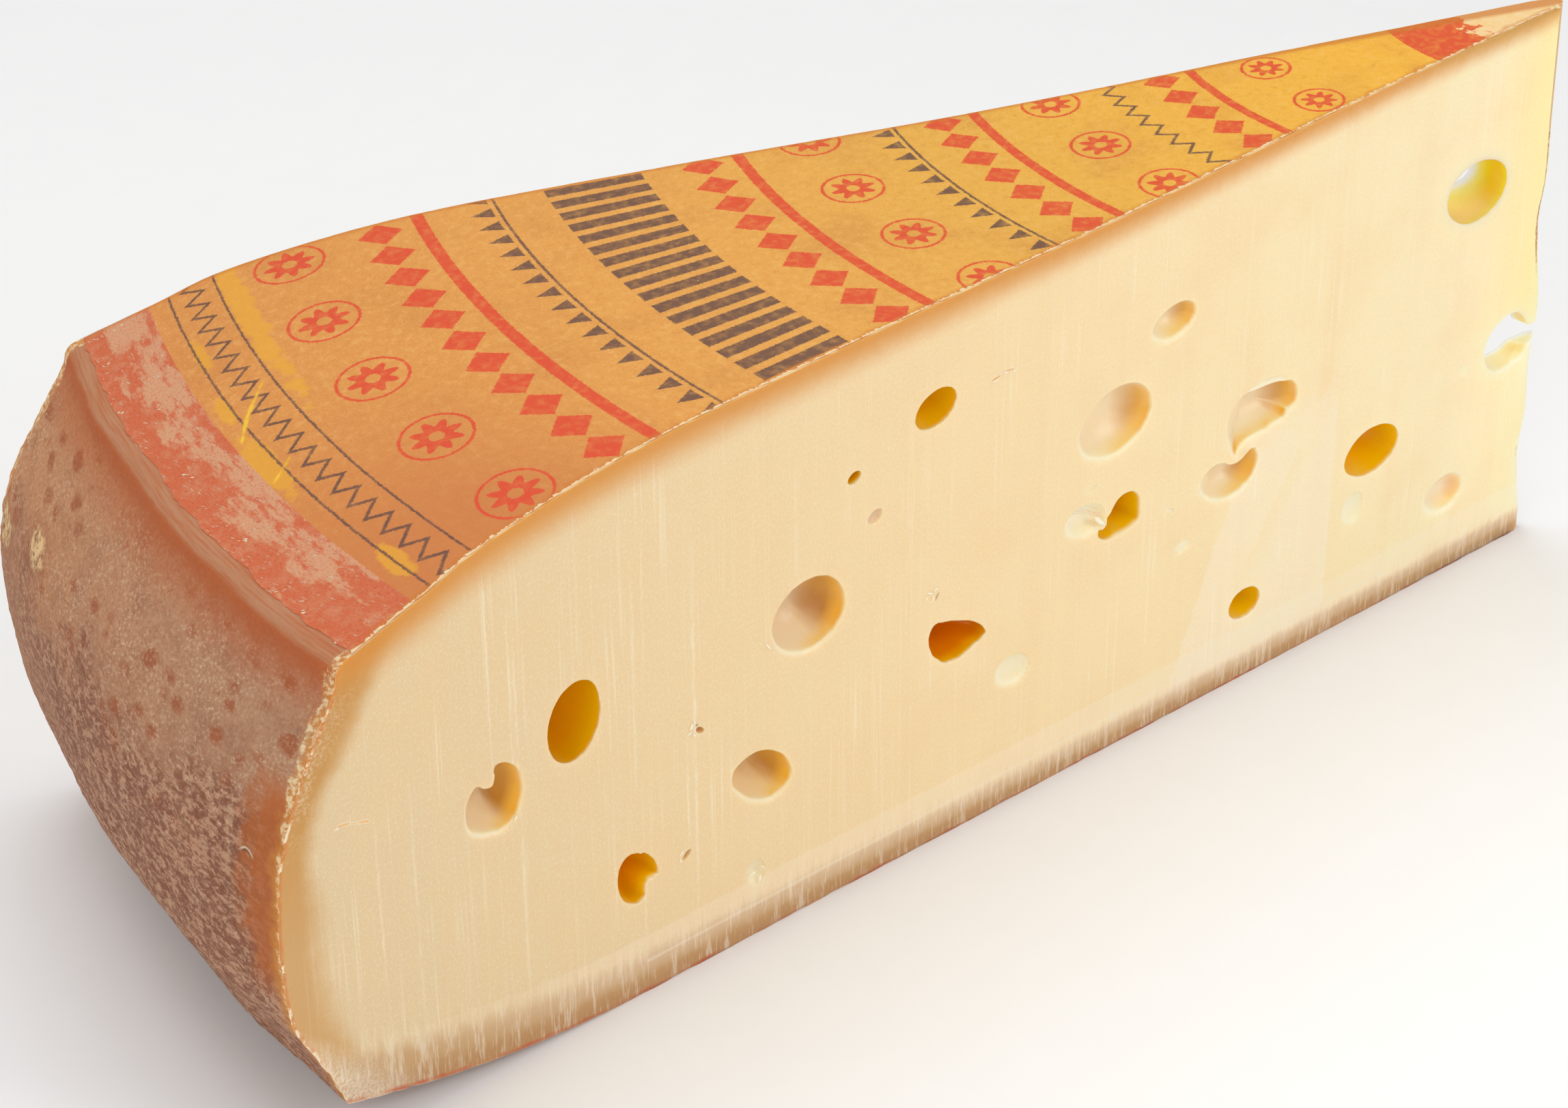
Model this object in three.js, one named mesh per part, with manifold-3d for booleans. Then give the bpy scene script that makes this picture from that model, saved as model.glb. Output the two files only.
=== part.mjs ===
// A wedge cut from a large round pressed cheese with eyes, with the paper label
// glued on its top. Millimetres, +Z up, the rim towards -X and the tip towards +X.
// The wheel's axis is vertical and runs close to the tip. "near" is the cut face
// towards -Y and "far" the one towards +Y.

import * as THREE from 'three';
import { mergeVertices } from 'three/addons/utils/BufferGeometryUtils.js';
import Module from 'manifold-3d';

const wasm = await Module();
wasm.setup();

// ---------------------------------------------------------------- driving sizes

const wheelRadius = 440;                                // widest radius of the whole wheel
const wheelHeight = 171.6;                              // height on the wheel's axis
const wedgeAngle = THREE.MathUtils.degToRad(23.64);     // between the two cut faces
const tipReach = 3;                                     // how far the tip's foot stands past the axis
const tipWidth = 4.6;                                   // width of the blunt tip
const tipRounding = 2.4;                                // how far back its corners start
const tipFlare = 150;                                   // the far face bows out over this radius

const labelRadius = 414.4;                              // outer edge of the paper
const labelThickness = 0.6;
const labelGap = 0.3;                                   // clearance between paper and rind
const labelInset = 0.5;                                 // paper edge behind the cut faces

const flatRadius = 333;                                 // the underside is flat out to here
const cornerRadius = 425.7;                             // bottom corner of the rim
const cornerHeight = 13.4;                              // and its height over the floor

const rindWave = 0.6;                                   // unevenness of the rim's radius
const rimBulge = 2.2;                                   // the belly is fuller away from the near cut
const bellyHeight = 82;                                 // height of the rim's fullest part
const bellyReach = 48;                                  // how far the fullness goes up and down
const wheelSegments = 180;
const stepsUp = 22;                                     // of the cut faces, for the tip's wander

// Top surface of the label from the axis to its outer edge, as radius and height.
const topKeys = [
    [0, wheelHeight], [88, 167.9], [176, 162.6], [264, 159.1],
    [330, 155.3], [374, 148.1], [396, 140.6], [labelRadius, 134],
];

// The rim from the ridge at the label's edge, through the shallow groove under it
// and over the belly, to the bottom corner.
const rimKeys = [
    [419.3, 130], [420.6, 126.6], [422.6, 123], [425.6, 117.4], [434.2, 100.5], [439, 84],
    [wheelRadius, 66], [438.9, 45], [434.9, 34.2], [430.2, 24.6], [cornerRadius, cornerHeight],
];

// How far the tip's edge stands out or back at each height, as height and shift.
const tipKeys = [
    [-10, 2.4], [6, 2.6], [16, 0.8], [29, -0.8], [41, 0.8], [58, -0.3], [76, 1.2],
    [103, -3.2], [118, -1.5], [140, -2.4], [185, -3.4],
];

// ---------------------------------------------------------------- eyes

// Each lobe is an ellipsoid: at is its radius and height on the cut face, size the
// width and height of its mouth, tilt in degrees anticlockwise as seen from outside,
// depth its deepest point under the face, and seat how deep its widest section lies.
// A keep is a tongue of paste left standing in the mouth.
const nearEyes = [
    { lobes: [{ at: [354.6, 89], size: [15.2, 21.4], tilt: -9, depth: 22, seat: 8 }] },
    {
        lobes: [{ at: [378.4, 78], size: [15.8, 19.2], tilt: -6, depth: 9, seat: 0 }],
        keep: { at: [379.8, 86.4], size: [4.6, 9], tilt: 8 },
    },
    {
        lobes: [
            { at: [338.6, 36.2], size: [10.4, 15.6], tilt: 10, depth: 14, seat: 4 },
            { at: [335.2, 38], size: [8.4, 8.6], tilt: -20, depth: 9, seat: 2 },
        ],
        keep: { at: [332.6, 30.9], size: [5.4, 6.4], tilt: -30 },
    },
    { lobes: [{ at: [296.9, 47.4], size: [21, 13.6], tilt: -35, depth: 11, seat: 1 }] },
    { lobes: [{ at: [299.6, 19], size: [6.2, 7.8], tilt: 20, depth: 1.8, seat: -1 }] },
    { lobes: [{ at: [281.4, 87.9], size: [23.2, 20.2], tilt: -8, depth: 12.5, seat: 1 }] },
    {
        lobes: [
            { at: [234.4, 60.2], size: [14, 13.4], tilt: 0, depth: 19, seat: 6 },
            { at: [237.4, 63], size: [7.4, 8.2], tilt: 0, depth: 10, seat: 3 },
            { at: [227.6, 59.4], size: [12.6, 7.4], tilt: -20, depth: 11, seat: 3 },
        ],
    },
    { lobes: [{ at: [210.8, 41.1], size: [13.2, 9.8], tilt: -12, depth: 2.4, seat: -1.5 }] },
    { lobes: [{ at: [240, 130.2], size: [14, 9.8], tilt: 13, depth: 15, seat: 5 }] },
    { lobes: [{ at: [267, 121], size: [4.3, 3], tilt: 18, depth: 6, seat: 2 }] },
    { lobes: [{ at: [259.6, 107.4], size: [5.6, 4.2], tilt: 15, depth: 1.5, seat: -0.5 }] },
    { lobes: [{ at: [175.5, 102.6], size: [26.2, 19.8], tilt: 6, depth: 8.5, seat: -1 }] },
    { lobes: [{ at: [155.1, 124.9], size: [15.6, 9.8], tilt: 8, depth: 6, seat: -0.5 }] },
    {
        lobes: [
            { at: [117.8, 85.4], size: [26.4, 14.4], tilt: -5, depth: 9.5, seat: 0 },
            { at: [118.4, 91.6], size: [14, 5], tilt: -4, depth: 3, seat: -0.5 },
            { at: [127.8, 79.8], size: [6.6, 12], tilt: 12, depth: 3.6, seat: -0.5 },
        ],
    },
    {
        lobes: [
            { at: [134, 68.6], size: [15.4, 11.2], tilt: -22, depth: 6.5, seat: 0 },
            { at: [124.6, 68.2], size: [11.4, 12.4], tilt: 0, depth: 7.5, seat: 0 },
        ],
    },
    {
        lobes: [
            { at: [171.3, 73.5], size: [11.8, 11.2], tilt: 0, depth: 14, seat: 4 },
            { at: [176.2, 70.8], size: [8.6, 5.8], tilt: -8, depth: 6, seat: 1 },
        ],
    },
    { lobes: [{ at: [185.8, 76.9], size: [14.6, 9.8], tilt: -10, depth: 3, seat: -1 }] },
    { lobes: [{ at: [120.5, 24.4], size: [12.4, 9.4], tilt: -4, depth: 10.5, seat: 2.5 }] },
    { lobes: [{ at: [70.6, 54.4], size: [22.4, 14.8], tilt: 0, depth: 15.5, seat: 4 }] },
    { lobes: [{ at: [76.8, 37.9], size: [8.8, 10.8], tilt: 0, depth: 2, seat: -1 }] },
    { lobes: [{ at: [35.6, 26.9], size: [16.6, 12.2], tilt: 0, depth: 4.4, seat: -1 }] },
];

const farEyes = [
    { lobes: [{ at: [376, 98], size: [17, 22], tilt: 10, depth: 17, seat: 6 }] },
    { lobes: [{ at: [341, 60], size: [23, 17], tilt: -16, depth: 10, seat: 0 }] },
    { lobes: [{ at: [361, 31], size: [11, 9], tilt: 0, depth: 8, seat: 2 }] },
    { lobes: [{ at: [309, 122], size: [13, 11], tilt: 20, depth: 12, seat: 3 }] },
    {
        lobes: [
            { at: [292, 80], size: [24, 19], tilt: 6, depth: 12, seat: 0 },
            { at: [280, 73], size: [13, 11], tilt: -10, depth: 7, seat: 0 },
        ],
    },
    { lobes: [{ at: [263, 35], size: [16, 20], tilt: -12, depth: 15, seat: 4 }] },
    { lobes: [{ at: [241, 104], size: [21, 15], tilt: 15, depth: 8, seat: -1 }] },
    { lobes: [{ at: [221, 61], size: [9, 7], tilt: 0, depth: 3, seat: -1 }] },
    { lobes: [{ at: [201, 129], size: [15, 11], tilt: -8, depth: 12, seat: 3 }] },
    {
        lobes: [
            { at: [187, 83], size: [26, 19], tilt: 12, depth: 12, seat: 0 },
            { at: [199, 76], size: [12, 13], tilt: 0, depth: 7, seat: 0 },
        ],
    },
    { lobes: [{ at: [168, 38], size: [14, 11], tilt: 0, depth: 8, seat: 1 }] },
    { lobes: [{ at: [141, 110], size: [12, 9], tilt: 0, depth: 4, seat: -1 }] },
    { lobes: [{ at: [127, 60], size: [19, 14], tilt: -14, depth: 10, seat: 1 }] },
    { lobes: [{ at: [97, 98], size: [13, 16], tilt: 5, depth: 5, seat: -1 }] },
    { lobes: [{ at: [89, 31], size: [9, 8], tilt: 0, depth: 3, seat: -1 }] },
];

// Eyes that the cuts opened on both sides, given on the near face: one high in the
// thin end, and one that breaks out at the tip's edge.
const throughEyes = [
    { lobes: [{ at: [34.2, 123.2], size: [25.4, 18.4], tilt: -6, depth: 19.8, seat: 8 }] },
    {
        lobes: [
            { at: [13.4, 68.6], size: [19.4, 17.4], tilt: 12, depth: 34, seat: 4 },
            { at: [3.6, 67.4], size: [12, 6], tilt: 10, depth: 30, seat: 3 },
            { at: [7.4, 63.4], size: [8, 5.4], tilt: 20, depth: 3, seat: 0 },
        ],
    },
];

// ---------------------------------------------------------------- materials

const pasteMaterial = new THREE.MeshStandardMaterial({ color: 0xf3dcac, roughness: 0.5, metalness: 0 });
const labelMaterial = new THREE.MeshStandardMaterial({ color: 0xe0a64a, roughness: 0.8, metalness: 0 });

// ---------------------------------------------------------------- frames

const halfAngle = wedgeAngle / 2;
const axisX = (wheelRadius + rimBulge - tipReach) / 2;  // puts the middle of the length at X = 0
const up = new THREE.Vector3(0, 0, 1);

// A cut face's own frame: its origin on the wheel's axis, X to the right as seen from
// outside, Y up and Z out of the cheese. toRim is the sign of X that leads to the rim.
function cutFace(right, toRim) {
    const outward = new THREE.Vector3().crossVectors(right, up);
    const frame = new THREE.Matrix4().makeBasis(right, up, outward);
    frame.setPosition(axisX, 0, 0);
    return { frame, toRim };
}

const nearFace = cutFace(new THREE.Vector3(Math.cos(halfAngle), Math.sin(halfAngle), 0), -1);
const farFace = cutFace(new THREE.Vector3(-Math.cos(halfAngle), Math.sin(halfAngle), 0), 1);

// ---------------------------------------------------------------- solids

function toSolid(geometry) {
    const bare = geometry.clone();
    bare.deleteAttribute('normal');
    bare.deleteAttribute('uv');
    const merged = mergeVertices(bare, 1e-4);
    return new wasm.Manifold(new wasm.Mesh({
        numProp: 3,
        vertProperties: new Float32Array(merged.attributes.position.array),
        triVerts: new Uint32Array(merged.index.array),
    }));
}

function toMesh(solid, name, material) {
    const { vertProperties, triVerts } = solid.getMesh();
    const geometry = new THREE.BufferGeometry();
    geometry.setAttribute('position', new THREE.BufferAttribute(vertProperties, 3));
    geometry.setIndex(new THREE.BufferAttribute(triVerts, 1));
    geometry.computeVertexNormals();
    const mesh = new THREE.Mesh(geometry, material);
    mesh.name = name;
    return mesh;
}

function splineThrough(keys, divisions) {
    return new THREE.SplineCurve(keys.map(([a, b]) => new THREE.Vector2(a, b))).getPoints(divisions);
}

// Turns a profile of radius and height round the wheel's axis. Towards the rim the
// radius is uneven, and its belly is a little fuller away from the near cut.
function revolve(profile) {
    const geometry = new THREE.LatheGeometry(profile, wheelSegments);
    geometry.rotateX(Math.PI / 2);
    const place = geometry.attributes.position;
    for (let i = 0; i < place.count; i++) {
        const x = place.getX(i);
        const y = place.getY(i);
        const z = place.getZ(i);
        const radius = Math.hypot(x, y);
        const turn = Math.atan2(y, -x);
        const inRim = THREE.MathUtils.smoothstep(radius, flatRadius, cornerRadius);
        const wave = rindWave * Math.sin(31 * turn + z / 21) * Math.cos(17 * turn - z / 34);
        const belly = Math.max(0, 1 - ((z - bellyHeight) / bellyReach) ** 2);
        const bulge = rimBulge * belly * THREE.MathUtils.smoothstep(turn, -halfAngle, -halfAngle * 0.3);
        const stretch = radius > 0 ? 1 + (inRim * (wave + bulge)) / radius : 1;
        place.setXYZ(i, axisX + x * stretch, y * stretch, z);
    }
    return toSolid(geometry);
}

const topLine = splineThrough(topKeys, 18);

// Underside, rim and top of the wheel, from the axis round to the axis.
function wheelSolid() {
    const drop = labelThickness + labelGap;
    const underside = [new THREE.Vector2(0, 0)];
    for (let i = 0; i < 6; i++) {
        const t = i / 6;
        underside.push(new THREE.Vector2(flatRadius + t * (cornerRadius - flatRadius), cornerHeight * t * t));
    }
    const rim = splineThrough(rimKeys, 22).reverse();
    const top = topLine.map((p) => new THREE.Vector2(p.x, p.y - drop)).reverse();
    return revolve([...underside, ...rim, ...top]);
}

// The paper over the whole top of the wheel, from its lower face round to its upper one.
function labelSheet() {
    const lower = topLine.map((p) => new THREE.Vector2(p.x, p.y - labelThickness));
    const upper = [...topLine].reverse();
    return revolve([...lower, ...upper]);
}

// Block between the two cuts, from under the wheel to over it. Its plan is a straight
// near side, a rounded blunt tip and a far side that bows out towards the tip.
function wedgeBlock(inset) {
    const reach = wheelRadius * 1.1;
    const near = (r) => new THREE.Vector3(-r, 0, -inset).applyMatrix4(nearFace.frame);
    const bow = (r) => tipWidth * Math.max(0, 1 - r / tipFlare) ** 2;
    const far = (r) => new THREE.Vector3(r, 0, bow(r) - inset).applyMatrix4(farFace.frame);
    const round = tipRounding + 2 * inset;
    const end = new THREE.Vector2(axisX - inset, tipWidth / 2);

    const outline = new THREE.Shape();
    outline.moveTo(near(reach).x, near(reach).y);
    outline.lineTo(near(round).x, near(round).y);
    outline.quadraticCurveTo(near(inset).x, near(inset).y, end.x, end.y);
    outline.quadraticCurveTo(far(inset).x, far(inset).y, far(round).x, far(round).y);
    for (let r = tipFlare / 6; r <= tipFlare; r += tipFlare / 6) outline.lineTo(far(r).x, far(r).y);
    outline.lineTo(far(reach).x, far(reach).y);

    const floorDrop = 10;
    const geometry = new THREE.ExtrudeGeometry(outline, {
        depth: wheelHeight + 2 * floorDrop, steps: stepsUp, bevelEnabled: false, curveSegments: 5,
    });
    geometry.translate(0, 0, -floorDrop);
    wanderTip(geometry);
    return toSolid(geometry);
}

// Moves what lies round the tip along the near face, by an amount that varies with height.
function wanderTip(geometry) {
    const wander = splineThrough(tipKeys, 80);
    const along = new THREE.Vector3().setFromMatrixColumn(nearFace.frame, 0);
    const place = geometry.attributes.position;
    const tipZone = axisX - tipRounding * 3;
    for (let i = 0; i < place.count; i++) {
        if (place.getX(i) < tipZone) continue;
        const after = wander.findIndex((p) => p.x > place.getZ(i));
        const shift = wander[after].y;
        place.setX(i, place.getX(i) + shift * along.x);
        place.setY(i, place.getY(i) + shift * along.y);
    }
}

// An ellipsoid sunk into a cut face so that its mouth has the given size.
function ellipsoid({ at, size, tilt, depth, seat }, face) {
    const deep = depth - seat;
    const mouth = Math.sqrt(1 - (seat / deep) ** 2);
    const detail = THREE.MathUtils.clamp(Math.round(size[0] / 6), 1, 3);
    const geometry = new THREE.IcosahedronGeometry(1, detail);
    geometry.scale(size[0] / 2 / mouth, size[1] / 2 / mouth, deep);
    geometry.rotateZ(THREE.MathUtils.degToRad(tilt));
    geometry.translate(at[0] * face.toRim, at[1], -seat);
    geometry.applyMatrix4(face.frame);
    return toSolid(geometry);
}

function eyeSolid({ lobes, keep }, face) {
    const solid = wasm.Manifold.union(lobes.map((lobe) => ellipsoid(lobe, face)));
    if (!keep) return solid;
    return solid.subtract(ellipsoid({ ...keep, depth: lobes[0].depth * 1.2, seat: 0 }, face));
}

// ---------------------------------------------------------------- the part

const eyes = wasm.Manifold.union([
    ...nearEyes.map((eye) => eyeSolid(eye, nearFace)),
    ...farEyes.map((eye) => eyeSolid(eye, farFace)),
    ...throughEyes.map((eye) => eyeSolid(eye, nearFace)),
]);

const cheese = wheelSolid().intersect(wedgeBlock(0)).subtract(eyes);
const label = labelSheet().intersect(wedgeBlock(labelInset));

const wedge = new THREE.Group();
wedge.add(toMesh(cheese, 'cheese', pasteMaterial));
wedge.add(toMesh(label, 'label', labelMaterial));

export default wedge;
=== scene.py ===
import functools
import math

import bpy
import numpy as np
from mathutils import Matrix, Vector, noise


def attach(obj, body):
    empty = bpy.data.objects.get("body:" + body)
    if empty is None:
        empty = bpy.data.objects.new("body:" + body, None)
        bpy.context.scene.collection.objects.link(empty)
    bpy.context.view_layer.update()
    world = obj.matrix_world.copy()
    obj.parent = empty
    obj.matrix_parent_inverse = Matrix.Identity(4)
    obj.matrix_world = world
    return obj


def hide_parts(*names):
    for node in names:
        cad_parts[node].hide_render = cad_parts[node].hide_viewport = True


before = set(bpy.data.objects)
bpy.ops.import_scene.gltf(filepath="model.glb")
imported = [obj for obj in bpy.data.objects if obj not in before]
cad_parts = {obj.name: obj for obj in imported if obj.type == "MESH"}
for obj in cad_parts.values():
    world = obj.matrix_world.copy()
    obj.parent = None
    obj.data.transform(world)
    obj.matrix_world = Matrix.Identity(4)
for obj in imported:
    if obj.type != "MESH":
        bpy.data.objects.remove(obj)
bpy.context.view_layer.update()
print("frame loaded")

mm = 0.001

# the whole wheel and the wedge cut from it, millimetres and degrees
wheel = {
    "axisX": 219.6,
    "halfAngle": 11.82,
    "topKeys": [(0, 171.6), (88, 167.9), (176, 162.6), (264, 159.1), (330, 155.3), (374, 148.1),
                (396, 140.6), (414.4, 134)],
    "rimKeys": [(414.4, 133.1), (416.4, 132.6), (418.3, 131.5), (419.5, 129.8), (419.9, 128),
                (420.3, 126.2), (421.4, 124), (423, 121.4), (425.6, 117), (434.2, 100.5), (439, 84),
                (440, 66), (438.9, 45), (434.9, 34.2), (430.2, 24.6), (425.7, 13.4)],
    "flatRadius": 333,      # the underside is flat out to here
    "cornerRadius": 425.7,
    "cornerHeight": 13.4,
    "tipKeys": [(-10, 2.4), (6, 2.6), (16, 0.8), (29, -0.8), (41, 0.8), (58, -0.3), (76, 1.2),
                (103, -3.2), (118, -1.5), (140, -2.4), (185, -3.4)],
    "tipWidth": 4.6,
    "tipRounding": 2.4,
    "tipFlare": 150,
    "wave": 0.6,
    "bulge": 2.2,
    "bellyHeight": 82,
    "bellyReach": 48,
    "labelDrop": 0.9,       # rind under the top line, where the paper lies
    "slim": 0.9985,         # lengthwise, so that the rind's relief stays within the wheel's size
}
halfAngle = math.radians(wheel["halfAngle"])
toNear = np.array([-math.cos(halfAngle), -math.sin(halfAngle), 0])
toFar = np.array([-math.cos(halfAngle), math.sin(halfAngle), 0])
nearOut = np.array([math.sin(halfAngle), -math.cos(halfAngle), 0])
farOut = np.array([math.sin(halfAngle), math.cos(halfAngle), 0])


def splineThrough(keys, count):
    keys = np.array(keys, float)
    at = np.linspace(0, len(keys) - 1, count)
    i = np.minimum(at.astype(int), len(keys) - 2)
    t = (at - i)[:, None]
    before, here = keys[np.maximum(i - 1, 0)], keys[i]
    there, after = keys[i + 1], keys[np.minimum(i + 2, len(keys) - 1)]
    leave, arrive = (there - before) / 2, (after - here) / 2
    cubic = 2 * here - 2 * there + leave + arrive
    square = 3 * there - 3 * here - 2 * leave - arrive
    return cubic * t ** 3 + square * t ** 2 + leave * t + here


topLine = splineThrough(wheel["topKeys"], 200)
rimLine = splineThrough(wheel["rimKeys"], 200)[::-1]    # from the bottom corner up
rimLength = np.concatenate([[0], np.cumsum(np.hypot(*np.diff(rimLine, axis=0).T))])
tipLine = splineThrough(wheel["tipKeys"], 200)


def topHeight(r):
    return np.interp(r, topLine[:, 0], topLine[:, 1])


def underHeight(r):
    t = np.clip((r - wheel["flatRadius"]) / (wheel["cornerRadius"] - wheel["flatRadius"]), 0, None)
    return wheel["cornerHeight"] * t * t


def rimRadius(z):
    return np.interp(z, rimLine[:, 1], rimLine[:, 0])


def smooth(x, low, high):
    t = np.clip((x - low) / (high - low), 0, 1)
    return t * t * (3 - 2 * t)


def noiseAt(points, size, octaves=3, seed=0):
    shift = Vector((seed * 17.3, seed * 5.1, seed * 9.7))
    return np.array([noise.fractal(Vector(p) / size + shift, 0.8, 2.1, octaves,
                                   noise_basis="PERLIN_NEW") for p in points])


# Where a point of the uncut wheel goes on the wedge. side is 0 on the near cut and 1 on the far one.
def wedgePlace(r, side, z, inset=0.0):
    turn = (2 * side - 1) * halfAngle
    shiftZone = 1 - smooth(r, 2, 11)
    r = r + (wheel["tipRounding"] * (2 * side - 1) ** 2 + inset) * (1 - smooth(r, 0, 9))
    inRim = smooth(r, wheel["flatRadius"], wheel["cornerRadius"])
    belly = np.maximum(0, 1 - ((z - wheel["bellyHeight"]) / wheel["bellyReach"]) ** 2)
    r = r + inRim * (wheel["wave"] * np.sin(31 * turn + z / 21) * np.cos(17 * turn - z / 34)
                     + wheel["bulge"] * belly * smooth(turn, -halfAngle, -halfAngle * 0.3))
    bow = wheel["tipWidth"] * np.maximum(0, 1 - r / wheel["tipFlare"]) ** 2
    wander = np.interp(z, tipLine[:, 0], tipLine[:, 1]) * shiftZone
    place = np.stack([wheel["axisX"] - r * np.cos(turn), r * np.sin(turn), z], axis=-1)
    place += (side * bow)[:, None] * farOut + (-wander)[:, None] * toNear
    place -= inset * ((1 - side)[:, None] * nearOut + side[:, None] * farOut)
    return place * [wheel["slim"], 1, 1]


# how far a point of the section lies under the rim, the top and the underside
def rindDepths(r, z):
    return {"rimDepth": rimRadius(z) - r, "topDepth": topHeight(r) - wheel["labelDrop"] - z,
            "underDepth": z - underHeight(r),
            "belowPaper": rimLength[-1] - np.interp(z, rimLine[:, 1], rimLength)}


def readPlaces(piece):
    flat = np.empty(len(piece.data.vertices) * 3, np.float32)
    piece.data.vertices.foreach_get("co", flat)
    return flat.reshape(-1, 3).astype(float) / mm


def writePlaces(piece, places):
    piece.data.vertices.foreach_set("co", (places * mm).astype(np.float32).ravel())
    piece.data.update()


def deselectAll():
    bpy.ops.object.select_all(action="DESELECT")


def editing(piece, mode="VERT"):
    deselectAll()
    bpy.context.view_layer.objects.active = piece
    piece.select_set(True)
    bpy.ops.object.mode_set(mode="EDIT")
    bpy.ops.mesh.select_mode(type=mode)
    bpy.ops.mesh.select_all(action="DESELECT")
    bpy.ops.object.mode_set(mode="OBJECT")


def selectFaces(piece, chosen):
    editing(piece, "FACE")
    piece.data.polygons.foreach_set("select", chosen)
    bpy.ops.object.mode_set(mode="EDIT")


def applyModifier(piece, kind, **settings):
    deselectAll()
    bpy.context.view_layer.objects.active = piece
    piece.select_set(True)
    added = piece.modifiers.new(kind, kind)
    for key, value in settings.items():
        setattr(added, key, value)
    bpy.ops.object.modifier_apply(modifier=added.name)


def setPointAttribute(piece, name, values):
    made = piece.data.attributes.get(name) or piece.data.attributes.new(name, "FLOAT", "POINT")
    made.data.foreach_set("value", np.asarray(values, np.float32))


# the cheese: half its section as a grid, swung round the wheel's axis, with the eyes cut out
cheese = {
    "columns": 132,
    "rows": 58,
    "steps": 84,
    "columnSpacing": [(0, 0), (0.08, 0.03), (0.87, 0.94), (1, 1)],  # finer at the tip and the rim
    "rowSpacing": [(0, 0), (0.16, 0.08), (0.88, 0.95), (1, 1)],     # finer at the rind
    "startRadius": 0.05,
    "seamVoxel": 0.5,
    "seamSmoothing": 6,
    "seamShare": 0.3,       # faces kept of an eye whose seams are melted away
    "hiddenShare": 0.12,    # faces kept under the paper and on the underside
    "hiddenFromCut": 5,
    "hiddenRadius": 395,
    "lipSoft": 1.4,         # rounding of the soft side of an eye's lip
    "lipCrisp": 0.3,
    "softSide": (0.83, -0.55),      # towards the rim and down
    "lipRings": (0.12, 0, -0.1, -0.25, -0.5, -0.85, -1.35, -2.1),   # places of its rings, outwards
    "outerRings": [1.6, 0.5],
    "tearFade": 2.2,        # how deep the torn edge reaches down the wall
    "mouthPoints": 960,
    "innerSpread": 0.035,
    "wide": 12,
    "small": 6,
    "segments": {"outline": 88, "nearWide": 76, "farWide": 42, "middling": 32, "small": 20},
}

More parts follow.
